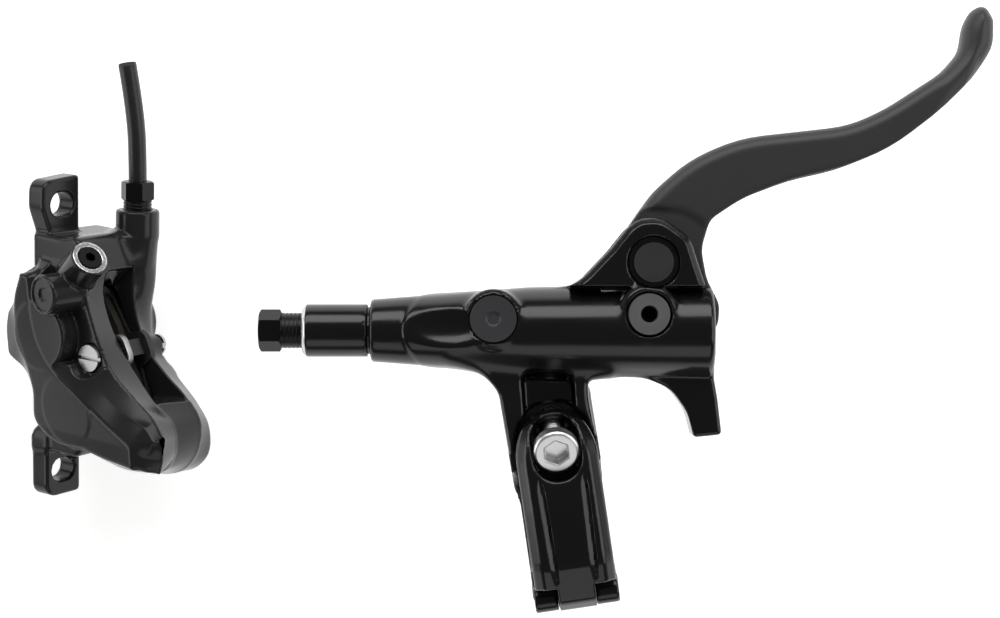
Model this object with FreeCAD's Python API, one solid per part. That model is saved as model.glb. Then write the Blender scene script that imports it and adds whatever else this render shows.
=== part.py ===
# Hydraulic disc brake for a bicycle: a lever unit that clamps on the handlebar and a
# four-piston post-mount caliper with a short cut length of hose.
# Millimetres. The origin is the centre of the handlebar clamp, +X along the handlebar,
# +Z out of the face that carries the bleed screw.
import math
import os

import FreeCAD, Part
from FreeCAD import Base

os.makedirs("parts", exist_ok=True)

# Length of a cutting tool that goes right through a piece
THROUGH = 30.0

# Handlebar and its clamp
BAR_D = 22.2
CYLINDER_TILT = 8.4
CLAMP_W = 18.6
CLAMP_WALL = 3.5
SPLIT_GAP = 1.2
COVER_W = 18.0
HINGE_Y = -17.2
HINGE_PIN_D = 3.0
KNUCKLE_R = 2.9
KNUCKLE_MID_W = 8.0
BOLT_D = 6.0
BOLT_HEAD_D = 10.0
BOLT_HEAD_H = 6.0
BOLT_HEX = 5.0
BOLT_LEN = 14.0
BOLT_TILT = 23.6
BOLT_BACKED_OUT = 3.0
BOLT_CROSS_Y = 21.2

# Master cylinder, laid along its own axis U; V points away from the handlebar
CYL_V = 40.8
CYL_Z = 2.0
CYL_LEFT = -42.4
CYL_RIGHT = 31.8
CYL_R = 9.6
CYL_LEFT_R = 6.8
CYL_TAPER_END = -8.0
MASTER_BORE_D = 10.0
BORE_START = -34.0
BORE_END = 8.0
NOSE_D = 11.5
NOSE_END = -57.3
NOSE_GROOVE_W = 0.7
ARM_DEPTH = 10.0
LEG_BACK = 5.5

# Lever blade and its pivot
PIVOT_U = 18.7
PIVOT_V = 55.5
PIN_D = 6.0
PIN_CAP_D = 8.5
EAR_T = 4.4
BLADE_HUB_T = 8.2
BLADE_HALF = 4.9
BLADE_WALL = 2.2
EAR_GAP = 0.15
RUNNING = 0.05
ROD_V_OFFSET = 0.1
ROD_PIN_U = 21.9
ROD_PIN_D = 4.0
ROD_D = 3.4
ROD_BALL_R = 2.4

# Reservoir on the underside of the cylinder
TANK_L0 = -33.0
TANK_L1 = 5.0
TANK_W = 15.0
TANK_FLOOR_Z = -12.0
TANK_WALL = 2.0
LID_T = 1.8
LID_SCREW_D = 2.5
DIAPHRAGM_T = 0.8

# Ports on the top face
BLEED_U = 17.6
BLEED_V = 44.4
BLEED_D = 9.6
BLEED_BOSS_D = 13.0
PLUG_U = -15.7
PLUG_V = 43.4
PLUG_D = 10.0
PORT_TOP_Z = 12.6

# Hose, its nuts and its barb
NUT_AF = 8.0
NUT_THREAD_D = 7.6
HOSE_D = 5.0
HOSE_BORE = 2.1

# Caliper, in its own axes: A out along the mounting bolts, R across the rotor, T up
CAL_U = -134.5
CAL_V = 37.9
CAL_Z = -115.0
CAL_YAW = 55.8
CAL_PITCH = 13.0
CAL_ROLL = 3.45
POST_SPACING = 74.2
POST_MID_T = -0.4
EAR_W = 12.5
EAR_THICK = 6.0
EAR_LEN = 14.5
SLOT_W = 6.6
SLOT_LEN = 8.6
ROTOR_R = 8.6
ROTOR_REACH = 91.5
ROTOR_ROOM = 4.4
SLOT_HALF = 5.6
PISTON_D = 16.0
PISTON_SPACING = 21.6
PISTON_LINE = 27.0
PISTON_MID_A = 7.5
PISTON_MID_T = -7.4
PISTON_LEN = 9.0
BORE_DEPTH = 11.5
BODY_OUT = -12.0
CREST_R = -6.0
BODY_IN = 22.0
BORE_END_WALL = 2.6
PAD_PLATE_T = 1.8
PAD_LINING_T = 2.0
PAD_REST_GAP = 0.4
PAD_L = 41.0
PAD_W = 17.0
ROTOR_T = 1.8
AXLE_D = 3.0
AXLE_OFFSET = 10.4
HOSE_BOSS_A = 11.0
HOSE_BOSS_R = 17.5
HOSE_BOSS_D = 12.0
HOSE_BOSS_TOP = 34.9


def V(x, y, z=0.0):
    return Base.Vector(x, y, z)


def cyl(r, p0, p1):
    """Cylinder of radius r from point p0 to point p1."""
    d = p1.sub(p0)
    return Part.makeCylinder(r, d.Length, p0, d)


def cone(r0, r1, p0, p1):
    d = p1.sub(p0)
    return Part.makeCone(r0, r1, d.Length, p0, d)


def hexagon(across_flats, p0, p1):
    """Hexagonal bar whose ends are chamfered to the corner circle."""
    d = p1.sub(p0)
    corner = across_flats / math.sqrt(3)
    pts = [V(corner * math.cos(math.radians(60 * i + 30)), corner * math.sin(math.radians(60 * i + 30)))
           for i in range(6)]
    bar = Part.Face(Part.makePolygon(pts + pts[:1])).extrude(V(0, 0, d.Length))
    bevel = 0.5 * (corner - across_flats / 2) * 1.2
    turned = Part.makeCylinder(corner, d.Length - 2 * bevel, V(0, 0, bevel))
    turned = turned.fuse(Part.makeCone(across_flats / 2, corner, bevel))
    turned = turned.fuse(Part.makeCone(corner, across_flats / 2, bevel, V(0, 0, d.Length - bevel)))
    bar = bar.common(turned.removeSplitter())
    bar.Placement = Base.Placement(p0, Base.Rotation(V(0, 0, 1), d))
    return bar


def rounded_wire(points, radius):
    """Closed outline through the points, its corners rounded by tangent arcs."""
    n = len(points)
    radii = radius if isinstance(radius, (list, tuple)) else [radius] * n
    starts = []
    ends = []
    mids = []
    for i, p in enumerate(points):
        a = points[i - 1].sub(p)
        b = points[(i + 1) % n].sub(p)
        la = a.Length
        lb = b.Length
        a.normalize()
        b.normalize()
        half = math.acos(max(-1.0, min(1.0, a.dot(b)))) / 2
        reach = min(radii[i] / math.tan(half), 0.49 * la, 0.49 * lb)
        r = reach * math.tan(half)
        bis = a.add(b)
        bis.normalize()
        centre = p.add(bis * (r / math.sin(half)))
        starts.append(p.add(a * reach))
        ends.append(p.add(b * reach))
        mids.append(centre.sub(bis * r))
    edges = []
    for i in range(n):
        if starts[i].distanceToPoint(ends[i]) > 1e-4:
            edges.append(Part.Arc(starts[i], mids[i], ends[i]).toShape())
        edges.append(Part.LineSegment(ends[i], starts[(i + 1) % n]).toShape())
    return Part.Wire(edges)


def plate(points, radius, z0, z1):
    """Flat piece with a rounded outline, from z0 to z1."""
    wire = rounded_wire([V(x, y, z0) for x, y in points], radius)
    return Part.Face(wire).extrude(V(0, 0, z1 - z0))


def side_plate(points, radius, x0, x1):
    """Piece whose section lies in Y and Z, from x0 to x1."""
    wire = rounded_wire([V(x0, y, z) for y, z in points], radius)
    return Part.Face(wire).extrude(V(x1 - x0, 0, 0))


def slab(points, radius, r0, r1):
    """Caliper piece whose outline lies in A and T, from r0 to r1 across the rotor."""
    wire = rounded_wire([V(a, r0, t) for a, t in points], radius)
    return Part.Face(wire).extrude(V(0, r1 - r0, 0))


def box(x0, x1, y0, y1, z0, z1):
    return Part.makeBox(x1 - x0, y1 - y0, z1 - z0, V(x0, y0, z0))


def skin(points0, points1, r0, r1):
    """Caliper wall that runs evenly from one outline at r0 to another at r1."""
    wires = [Part.makePolygon([V(a, r, t) for a, t in pts + pts[:1]]) for pts, r in ((points0, r0), (points1, r1))]
    return Part.makeLoft(wires, True, True)


def union(*shapes):
    result = shapes[0]
    for s in shapes[1:]:
        result = result.fuse(s)
    return result


def fuse(*shapes):
    """Union whose faces on one surface are joined."""
    return union(*shapes).removeSplitter()


def cut(shape, *tools):
    for t in tools:
        shape = shape.cut(t)
    return shape


# The master cylinder lies turned about Z from the handlebar, so lever pieces drawn in U, V
# are turned back; caliper pieces are drawn in A, R, T and carried to their place.
TO_BAR = Base.Placement(V(0, 0, 0), Base.Rotation(V(0, 0, 1), -CYLINDER_TILT))
CAL_TURN = (Base.Rotation(V(1, 0, 0), CAL_PITCH)
            * Base.Rotation(V(0, 1, 0), CAL_YAW - 90)
            * Base.Rotation(V(1, 0, 0), -90)
            * Base.Rotation(V(1, 0, 0), -CAL_ROLL))
TO_CALIPER = TO_BAR * Base.Placement(V(CAL_U, CAL_V, CAL_Z), CAL_TURN)


def moved(shape, placement):
    """The shape carried by the placement, on top of any placement that it has."""
    return shape.transformed(placement.toMatrix())


def keep(name, shape, placement=None):
    if placement is not None:
        shape = moved(shape, placement)
    solids = shape.Solids
    shape = solids[0] if len(solids) == 1 else Part.makeCompound(solids)
    shape.exportStep("parts/" + name + ".step")
    print(name, len(solids), "valid" if shape.isValid() else "INVALID", round(shape.Volume, 1))
    return shape


def in_bar(shape):
    """Turn a U, V piece into handlebar axes."""
    return moved(shape, TO_BAR)


# Lever housing
bar_r = BAR_D / 2
clamp_r = bar_r + CLAMP_WALL
axis_left = V(CYL_LEFT, CYL_V, CYL_Z)
axis_taper = V(CYL_TAPER_END, CYL_V, CYL_Z)
axis_right = V(CYL_RIGHT, CYL_V, CYL_Z)
pivot_lo = V(PIVOT_U, PIVOT_V, CYL_Z - BLADE_HUB_T / 2 - EAR_GAP - EAR_T)
pivot_hi = V(PIVOT_U, PIVOT_V, CYL_Z + BLADE_HUB_T / 2 + EAR_GAP + EAR_T)
slot_lo = CYL_Z - BLADE_HUB_T / 2 - EAR_GAP
slot_hi = CYL_Z + BLADE_HUB_T / 2 + EAR_GAP

barrel = fuse(cone(CYL_LEFT_R, CYL_R, axis_left, axis_taper), cyl(CYL_R, axis_taper, axis_right))
nose = fuse(cyl(NOSE_D / 2, V(NOSE_END + 0.8, CYL_V, CYL_Z), axis_left),
            cone(NOSE_D / 2 - 0.8, NOSE_D / 2, V(NOSE_END, CYL_V, CYL_Z), V(NOSE_END + 0.8, CYL_V, CYL_Z)))
groove = cyl(NOSE_D, V(CYL_LEFT - NOSE_GROOVE_W, CYL_V, CYL_Z), axis_left).cut(
    cyl(NOSE_D / 2 - 0.5, V(CYL_LEFT - 1, CYL_V, CYL_Z), V(CYL_LEFT + 1, CYL_V, CYL_Z)))
ear_outline = [(-6.0, 48.5), (2.5, 51.0), (9.4, 58.3), (13.0, 62.8), (15.5, 64.9), (20.5, 65.2),
               (26.5, 61.0), (28.4, 55.0), (30.6, 48.5)]
ears = plate(ear_outline, [1, 12, 5, 5, 5, 6, 5, 5, 1], pivot_lo.z, pivot_hi.z)
arm_outline = [(-27.0, 35.5), (-18.6, 32.1), (-14.6, 27.5), (-12.6, 16.0), (-10.2, 2.0),
               (8.6, 4.8), (6.6, 17.5), (5.0, 26.0), (4.8, 30.2), (10.0, 31.2), (10.0, 38.0), (-20.0, 38.0)]
arm = plate(arm_outline, [1, 6, 6, 8, 0.1, 0.1, 8, 5, 1.5, 1, 1, 1], -ARM_DEPTH, 7.0)
leg_outline = [(4.0, 31.2), (16.5, 30.8), (22.8, 28.2), (26.4, 23.0), (27.8, 17.6), (33.9, 18.2),
               (33.0, 26.0), (CYL_RIGHT, 33.0), (CYL_RIGHT, 38.0), (4.0, 38.0)]
leg = plate(leg_outline, [1, 8, 8, 8, 0.8, 0.8, 4, 1, 1, 1], -LEG_BACK, 6.0)
tank = plate([(TANK_L0, CYL_V - TANK_W / 2), (TANK_L1, CYL_V - TANK_W / 2),
              (TANK_L1, CYL_V + TANK_W / 2), (TANK_L0, CYL_V + TANK_W / 2)], 5.0, TANK_FLOOR_Z, CYL_Z)
bleed_boss = cyl(BLEED_BOSS_D / 2, V(BLEED_U, BLEED_V, CYL_Z + 4.0), V(BLEED_U, BLEED_V, PORT_TOP_Z - 0.6))
plug_boss = cyl(PLUG_D / 2 + 1.3, V(PLUG_U, PLUG_V, CYL_Z), V(PLUG_U, PLUG_V, PORT_TOP_Z - 1.2))
casting = fuse(barrel, nose, ears, tank, bleed_boss, plug_boss, leg, arm)
casting = cut(casting, groove)

# Hollows of the cylinder: bore, slot for the lever's inner arm, reservoir, ports
bore = cyl(MASTER_BORE_D / 2, V(BORE_START, CYL_V, CYL_Z), V(BORE_END + 1, CYL_V, CYL_Z))
arm_slot = plate([(BORE_END, CYL_V - 6.8), (CYL_RIGHT + 4, CYL_V - 6.8), (CYL_RIGHT + 4, 75), (-6, 75),
                  (4.0, 53.0), (BORE_END, 50.5)], 0.8, slot_lo, slot_hi)
mouth = cyl(7.0, V(CYL_RIGHT - 4.5, CYL_V + 0.8, CYL_Z), V(CYL_RIGHT + 1, CYL_V + 0.8, CYL_Z))
tank_hollow = plate([(TANK_L0 + TANK_WALL, CYL_V - TANK_W / 2 + TANK_WALL),
                     (TANK_L1 - TANK_WALL, CYL_V - TANK_W / 2 + TANK_WALL),
                     (TANK_L1 - TANK_WALL, CYL_V + TANK_W / 2 - TANK_WALL),
                     (TANK_L0 + TANK_WALL, CYL_V + TANK_W / 2 - TANK_WALL)], 3.5, TANK_FLOOR_Z - 1, -6.0)
lid_seat = plate([(TANK_L0 + 0.9, CYL_V - TANK_W / 2 + 0.9), (TANK_L1 - 0.9, CYL_V - TANK_W / 2 + 0.9),
                  (TANK_L1 - 0.9, CYL_V + TANK_W / 2 - 0.9), (TANK_L0 + 0.9, CYL_V + TANK_W / 2 - 0.9)],
                 4.2, TANK_FLOOR_Z - 1, TANK_FLOOR_Z + DIAPHRAGM_T)
ports = [cyl(0.5, V(u, CYL_V, CYL_Z), V(u, CYL_V, -7)) for u in (-22.0, -12.0)]
bleed_pocket = fuse(cyl(BLEED_D / 2 + 0.1, V(BLEED_U, BLEED_V, PORT_TOP_Z - 2.6), V(BLEED_U, BLEED_V, PORT_TOP_Z + 2)),
                    cyl(2.5, V(BLEED_U, BLEED_V, slot_hi + 1.0), V(BLEED_U, BLEED_V, PORT_TOP_Z)))
bleed_way = cyl(0.6, V(BLEED_U, BLEED_V + 2.4, 7.9), V(0.0, BLEED_V + 2.4, 7.9))
bleed_drop = cyl(0.6, V(1.0, CYL_V + 5.9, 8.4), V(1.0, CYL_V + 5.9, -7))
plug_pocket = fuse(cyl(PLUG_D / 2 + 0.1, V(PLUG_U, PLUG_V, PORT_TOP_Z - 3.4), V(PLUG_U, PLUG_V, PORT_TOP_Z + 2)),
                   cyl(1.6, V(PLUG_U, PLUG_V, CYL_Z + 5.5), V(PLUG_U, PLUG_V, PORT_TOP_Z)))
nose_bore = fuse(cyl(NUT_THREAD_D / 2, V(NOSE_END - 1, CYL_V, CYL_Z), V(NOSE_END + 9.0, CYL_V, CYL_Z)),
                 cyl(3.0, V(NOSE_END + 8, CYL_V, CYL_Z), V(NOSE_END + 14.0, CYL_V, CYL_Z)),
                 cyl(1.2, V(NOSE_END + 13, CYL_V, CYL_Z), V(BORE_START + 1, CYL_V, CYL_Z)))
pin_bore = cyl(PIN_D / 2, V(PIVOT_U, PIVOT_V, pivot_lo.z - 1), V(PIVOT_U, PIVOT_V, pivot_hi.z + 1))
cap_bore = cyl(PIN_CAP_D / 2 + 1.4, V(PIVOT_U, PIVOT_V, pivot_hi.z - 1.4), V(PIVOT_U, PIVOT_V, pivot_hi.z + 1))
lid_screws_u = (TANK_L0 + 4.2, TANK_L1 - 4.2)
pillars = [cyl(LID_SCREW_D / 2 + 1.2, V(u, CYL_V, TANK_FLOOR_Z - 2), V(u, CYL_V, -5.0)) for u in lid_screws_u]
screw_holes = [cyl(LID_SCREW_D / 2, V(u, CYL_V, TANK_FLOOR_Z - 2), V(u, CYL_V, -7.6)) for u in lid_screws_u]
tank_hollow = cut(tank_hollow, *pillars)
casting = cut(casting, bore, arm_slot, mouth, tank_hollow, lid_seat, bleed_pocket, bleed_way, bleed_drop,
              plug_pocket, nose_bore, pin_bore, cap_bore, *ports, *screw_holes)
ring_groove = cyl(MASTER_BORE_D / 2 + 0.5, V(BORE_END - 1.9, CYL_V, CYL_Z), V(BORE_END - 0.9, CYL_V, CYL_Z))
casting = casting.cut(ring_groove)
relief = plate([(-6.5 - 3.4, 33.2), (-6.5 + 8.0, 33.2), (-6.5 + 9.6, 10), (-6.5 - 1.4, 10)], 2.0, 0.0, 12.0)
casting = casting.cut(relief)
casting = in_bar(casting)

# The clamp half is part of the casting and is drawn in handlebar axes
half_w = CLAMP_W / 2
bolt_dir = V(0, -math.sin(math.radians(BOLT_TILT)), math.cos(math.radians(BOLT_TILT)))
bolt_cross = V(0, BOLT_CROSS_Y, 0)
rear = side_plate([(-14.2, -SPLIT_GAP / 2), (-14.9, -5.0), (-10.5, -12.0), (-2.0, -clamp_r - 0.3), (8.0, -13.6),
                   (20.0, -ARM_DEPTH), (27.5, -ARM_DEPTH), (27.0, -0.4), (22.0, -SPLIT_GAP / 2)],
                  [0.1, 5, 6, 8, 8, 6, 1, 1, 0.1], -half_w, half_w)
knuckle = cyl(KNUCKLE_R, V(-half_w, HINGE_Y, 0), V(half_w, HINGE_Y, 0))
knuckle_foot = box(-half_w, half_w, HINGE_Y + 0.3, -11.5, -KNUCKLE_R - 2.0, -SPLIT_GAP / 2)
casting = fuse(casting, rear, knuckle, knuckle_foot)
front_room = box(-half_w - 3, half_w + 3, -30, 13.0, -SPLIT_GAP / 2, 30)
front_room = front_room.cut(cyl(KNUCKLE_R, V(-half_w - 1, HINGE_Y, 0), V(half_w + 1, HINGE_Y, 0)))
ROOM = 0.4
side = COVER_W / 2 + ROOM
cover_room = plate([(-half_w - 3, 12.0), (half_w + 3, 12.0), (half_w + 3, 15.0), (side, 15.4), (6.9 + ROOM, 22.0),
                    (3.1 + ROOM, 25.0 + ROOM), (-3.1 - ROOM, 25.0 + ROOM), (-6.9 - ROOM, 22.0), (-side, 15.4),
                    (-half_w - 3, 15.0)], [1, 1, 0.5, 2, 5, 5, 5, 5, 2, 0.5], -SPLIT_GAP / 2, 30)
mid_room = cyl(KNUCKLE_R + 0.4, V(-KNUCKLE_MID_W / 2 - 0.2, HINGE_Y, 0), V(KNUCKLE_MID_W / 2 + 0.2, HINGE_Y, 0))
bar_room = cyl(bar_r, V(-60, 0, 0), V(60, 0, 0))
hinge_hole = cyl(HINGE_PIN_D / 2, V(-30, HINGE_Y, 0), V(30, HINGE_Y, 0))
bolt_hole = cyl(BOLT_D / 2, bolt_cross.sub(bolt_dir * 12), bolt_cross.add(bolt_dir * 20))
housing = cut(casting, front_room, cover_room, mid_room, bar_room, hinge_hole, bolt_hole)
housing = max(housing.Solids, key=lambda s: s.Volume)
keep("lever_housing", housing)

# Clamp cover: the front half, hinged below and pulled in by one slanted bolt
cover_half = COVER_W / 2
cover_profile = [(-14.4, SPLIT_GAP / 2), (-17.0, 0.4), (-19.6, 1.4), (-18.8, 6.5), (-15.4, 12.0),
                 (-9.0, 14.6), (4.0, 15.2), (14.0, 14.4), (22.6, 12.2), (25.4, 4.4), (22.9, SPLIT_GAP / 2)]
cover = side_plate(cover_profile, [0.1, 0.5, 1, 4, 4, 6, 8, 5, 2.5, 1.2, 0.5], -cover_half, cover_half)
front_view = plate([(-cover_half, -22), (cover_half, -22), (cover_half, 15.5), (6.6, 22.0), (3.0, 25.0),
                    (-3.0, 25.0), (-6.6, 22.0), (-cover_half, 15.5)], [0.1, 0.1, 5, 5, 5, 5, 5, 5], -5, 20)
cover = cover.common(front_view)
lug = cyl(KNUCKLE_R, V(-KNUCKLE_MID_W / 2, HINGE_Y, 0), V(KNUCKLE_MID_W / 2, HINGE_Y, 0))
side_clear = [box(x, x + 8, HINGE_Y - 6, HINGE_Y + KNUCKLE_R + 0.5, -6, 20)
              for x in (KNUCKLE_MID_W / 2, -KNUCKLE_MID_W / 2 - 8)]
cover = cut(cover, *side_clear)
cover = fuse(cover, lug)
seat = bolt_cross.add(bolt_dir * 6.4)
well_pts = [(-5.6, 8.6), (5.6, 8.6), (5.6, 23.4), (-5.6, 23.4)]
well = plate(well_pts, 5.4, -3, THROUGH)
well = well.common(cyl(THROUGH, seat, seat.add(bolt_dir * THROUGH)))
cover = cut(cover, cyl(bar_r, V(-THROUGH, 0, 0), V(THROUGH, 0, 0)), well,
            cyl(BOLT_D / 2 + 0.8, bolt_cross.sub(bolt_dir * 12), bolt_cross.add(bolt_dir * THROUGH)),
            cyl(HINGE_PIN_D / 2 + RUNNING, V(-THROUGH, HINGE_Y, 0), V(THROUGH, HINGE_Y, 0)))
GROOVE_X = 3.9
GROOVE_W = 1.4
GROOVE_TOP = 8.0
GROOVE_END = -12.5
GROOVE_Z = 13.9
for side in (-1, 1):
    groove_in = side * (GROOVE_X - GROOVE_W / 2)
    groove_out = side * (GROOVE_X + GROOVE_W / 2)
    cover = cover.cut(plate([(groove_in, GROOVE_TOP), (groove_out, GROOVE_TOP), (groove_out, GROOVE_END),
                             (groove_in, GROOVE_END)], 0.6, GROOVE_Z, THROUGH))
cover = max(cover.Solids, key=lambda s: s.Volume)
keep("clamp_cover", cover)

keep("clamp_hinge_pin", cyl(HINGE_PIN_D / 2, V(-half_w, HINGE_Y, 0), V(half_w, HINGE_Y, 0)))

head_base = seat.add(bolt_dir * BOLT_BACKED_OUT)
bolt = fuse(cyl(BOLT_HEAD_D / 2, head_base, head_base.add(bolt_dir * BOLT_HEAD_H)),
            cyl(BOLT_D / 2, head_base.sub(bolt_dir * BOLT_LEN), head_base.add(bolt_dir * 0.5)))
key_floor = head_base.add(bolt_dir * (BOLT_HEAD_H - 3.2))
bolt = bolt.cut(hexagon(BOLT_HEX, key_floor, key_floor.add(bolt_dir * 7.2)))
keep("clamp_bolt", bolt)

# Lever blade: a pressed channel with a solid hub and an inner arm that pushes the rod
upper_edge = [(13.7, 63.4), (18.8, 70.8), (26.6, 77.7), (37.3, 82.6), (51.0, 84.1), (61.6, 85.3),
              (70.1, 89.3), (82.0, 97.0), (85.8, 101.5), (86.6, 107.1), (88.4, 110.6), (91.3, 111.9)]
lower_edge = [(93.3, 108.5), (93.2, 102.6), (89.2, 96.3), (80.7, 88.3), (70.1, 80.2), (59.4, 76.0),
              (48.9, 73.6), (38.3, 69.6), (31.2, 64.8), (29.3, 58.5), (30.5, 52.0), (33.3, 46.5), (33.0, 42.0),
              (30.0, 38.6), (25.5, 36.6), (19.5, 37.0), (18.0, 41.0), (17.2, 46.0), (10.0, 55.5)]
blade_pts = upper_edge + lower_edge
blade_radii = [3, 18, 30, 40, 60, 40, 40, 12, 6, 8, 4, 3, 3, 8, 25, 40, 40, 40, 40, 30, 4, 8, 6, 5, 4, 4, 3, 2,
               6, 4, 5]
blade = plate(blade_pts, blade_radii, CYL_Z - BLADE_HALF, CYL_Z + BLADE_HALF)
hub_outline = [(-5, 30), (45, 30), (45, 52), (33.0, 62.0), (25.5, 67.0), (15.5, 67.5), (4.0, 62)]
hub_radii = [1, 1, 1, 6, 8, 3, 1]
hub_room = plate(hub_outline, hub_radii, CYL_Z - 12, CYL_Z + 12)
hub_core = plate(hub_outline, hub_radii, CYL_Z - BLADE_HUB_T / 2, CYL_Z + BLADE_HUB_T / 2)
blade = fuse(blade.cut(hub_room), blade.common(hub_core))
channel = plate([(36.0, 60.0), (60.0, 60.0), (92.0, 82.0), (90.2, 96.4), (80.0, 91.4), (68.0, 83.4),
                 (58.0, 80.0), (46.0, 78.2), (37.0, 73.6)], [1, 1, 1, 3, 20, 20, 20, 20, 3],
                CYL_Z - BLADE_HALF + BLADE_WALL, CYL_Z + BLADE_HALF - BLADE_WALL)
blade = blade.cut(channel)
rod_pin_v = CYL_V + ROD_V_OFFSET
rod_slot = plate([(9.0, rod_pin_v - 12.0), (18.5, rod_pin_v - 12.0), (26.0, rod_pin_v - 3.4),
                  (26.0, rod_pin_v + 3.4), (9.0, rod_pin_v + 3.4)], 1.5, CYL_Z - 2.1, CYL_Z + 2.1)
bush_r = PIN_D / 2 + 1.2
blade = cut(blade, rod_slot,
            cyl(bush_r, V(PIVOT_U, PIVOT_V, -20), V(PIVOT_U, PIVOT_V, 30)),
            cyl(ROD_PIN_D / 2, V(ROD_PIN_U, rod_pin_v, -20), V(ROD_PIN_U, rod_pin_v, 30)))
adjust_a = V(26.5, 50.5, CYL_Z)
adjust_b = V(31.4, 47.4, CYL_Z)
adjust_dir = adjust_b.sub(adjust_a)
adjust_dir.normalize()
blade = cut(blade, cyl(1.5, adjust_a, adjust_a.add(adjust_dir * 12)))
keep("lever_blade", blade, TO_BAR)
keep("reach_adjust_screw", cut(cyl(1.5, adjust_a, adjust_a.add(adjust_dir * 5.5)),
                               hexagon(1.5, adjust_a.add(adjust_dir * 4.0), adjust_a.add(adjust_dir * 8))), TO_BAR)

# Pivot: two flanged bushes in the blade, one pin fixed in the ears, and its cap
bush_top = CYL_Z + BLADE_HUB_T / 2
bush_low = CYL_Z - BLADE_HUB_T / 2
for name, z0, z1 in (("pivot_bush_top", CYL_Z + 0.4, bush_top), ("pivot_bush_bottom", bush_low, CYL_Z - 0.4)):
    keep(name, cut(cyl(bush_r, V(PIVOT_U, PIVOT_V, z0), V(PIVOT_U, PIVOT_V, z1)),
                   cyl(PIN_D / 2 + RUNNING, V(PIVOT_U, PIVOT_V, -20), V(PIVOT_U, PIVOT_V, 30))), TO_BAR)
cap_floor = pivot_hi.z - 1.4
pin = fuse(cyl(PIN_D / 2, pivot_lo, V(PIVOT_U, PIVOT_V, cap_floor)),
           cyl(PIN_CAP_D / 2, V(PIVOT_U, PIVOT_V, cap_floor), V(PIVOT_U, PIVOT_V, pivot_hi.z + 0.4)))
keep("lever_pivot_pin", pin, TO_BAR)

# Push rod, its cross pin in the blade, and the master piston with two seals
cross_pin = cyl(ROD_PIN_D / 2, V(ROD_PIN_U, rod_pin_v, bush_low), V(ROD_PIN_U, rod_pin_v, bush_top))
keep("push_rod_pin", cross_pin, TO_BAR)
piston_back = BORE_END - 2.2
ball_u = piston_back - 2.6
rod = fuse(cyl(3.2, V(ROD_PIN_U, rod_pin_v, CYL_Z - 2.0), V(ROD_PIN_U, rod_pin_v, CYL_Z + 2.0)),
           cyl(ROD_D / 2, V(ball_u, rod_pin_v, CYL_Z), V(ROD_PIN_U - 2, rod_pin_v, CYL_Z)),
           Part.makeSphere(ROD_BALL_R, V(ball_u, rod_pin_v, CYL_Z)))
rod = rod.common(plate([(-5, 30), (30, 30), (30, 50), (-5, 50)], 0.1, CYL_Z - 2.0, CYL_Z + 2.0))
rod = rod.cut(cyl(ROD_PIN_D / 2 + RUNNING, V(ROD_PIN_U, rod_pin_v, -20), V(ROD_PIN_U, rod_pin_v, 30)))
keep("push_rod", rod, TO_BAR)
master_r = MASTER_BORE_D / 2
piston_front = piston_back - 22.0
seal_u = (piston_front + 2.0, piston_back - 8.0)
body = cyl(master_r - RUNNING, V(piston_front, CYL_V, CYL_Z), V(piston_back, CYL_V, CYL_Z))
socket = fuse(cyl(ROD_BALL_R + 0.5, V(ball_u, CYL_V, CYL_Z), V(piston_back + 1, CYL_V, CYL_Z)),
              Part.makeSphere(ROD_BALL_R + 0.5, V(ball_u, CYL_V, CYL_Z)))
waist = cyl(master_r + 1, V(piston_front + 5.5, CYL_V, CYL_Z), V(piston_back - 11.0, CYL_V, CYL_Z)).cut(
    cyl(2.6, V(piston_front, CYL_V, CYL_Z), V(piston_back, CYL_V, CYL_Z)))
body = cut(body, socket, waist)
SEAL_W = 2.0
SEAL_DEPTH = 1.4
for u in seal_u:
    body = body.cut(cyl(master_r + 1, V(u, CYL_V, CYL_Z), V(u + SEAL_W, CYL_V, CYL_Z)).cut(
        cyl(master_r - SEAL_DEPTH, V(u - 1, CYL_V, CYL_Z), V(u + SEAL_W + 1, CYL_V, CYL_Z))))
spring_spigot = 1.8
body = fuse(body, cyl(spring_spigot, V(piston_front - 1.5, CYL_V, CYL_Z), V(piston_front + 1, CYL_V, CYL_Z)))
keep("master_piston", body, TO_BAR)
for name, u in (("primary_seal", seal_u[0]), ("secondary_seal", seal_u[1])):
    keep(name, cyl(master_r - 0.02, V(u, CYL_V, CYL_Z), V(u + SEAL_W, CYL_V, CYL_Z)).cut(
        cyl(master_r - SEAL_DEPTH, V(u - 1, CYL_V, CYL_Z), V(u + SEAL_W + 1, CYL_V, CYL_Z))), TO_BAR)

spring_r = 3.4
spring_wire = 0.45
spring_len = piston_front - BORE_START - 0.1
turns = 7
helix = Part.makeHelix((spring_len - 2 * spring_wire) / turns, spring_len - 2 * spring_wire, spring_r)
profile = Part.Wire(Part.makeCircle(spring_wire, V(spring_r, 0, 0), V(0, 1, 0)))
coil = Part.Wire(helix).makePipeShell([profile], True, True)
coil_foot = V(BORE_START + 0.05 + spring_wire, CYL_V, CYL_Z)
coil.Placement = Base.Placement(coil_foot, Base.Rotation(V(0, 0, 1), V(1, 0, 0)))
keep("return_spring", coil, TO_BAR)

ring = cut(cyl(master_r + 0.45, V(BORE_END - 1.85, CYL_V, CYL_Z), V(BORE_END - 0.95, CYL_V, CYL_Z)),
           cyl(3.6, V(BORE_END - 3, CYL_V, CYL_Z), V(BORE_END + 1, CYL_V, CYL_Z)),
           box(BORE_END - 3, BORE_END + 1, CYL_V - 1.4, CYL_V + 1.4, CYL_Z + 2, CYL_Z + 8))
keep("piston_retaining_ring", ring, TO_BAR)

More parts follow.
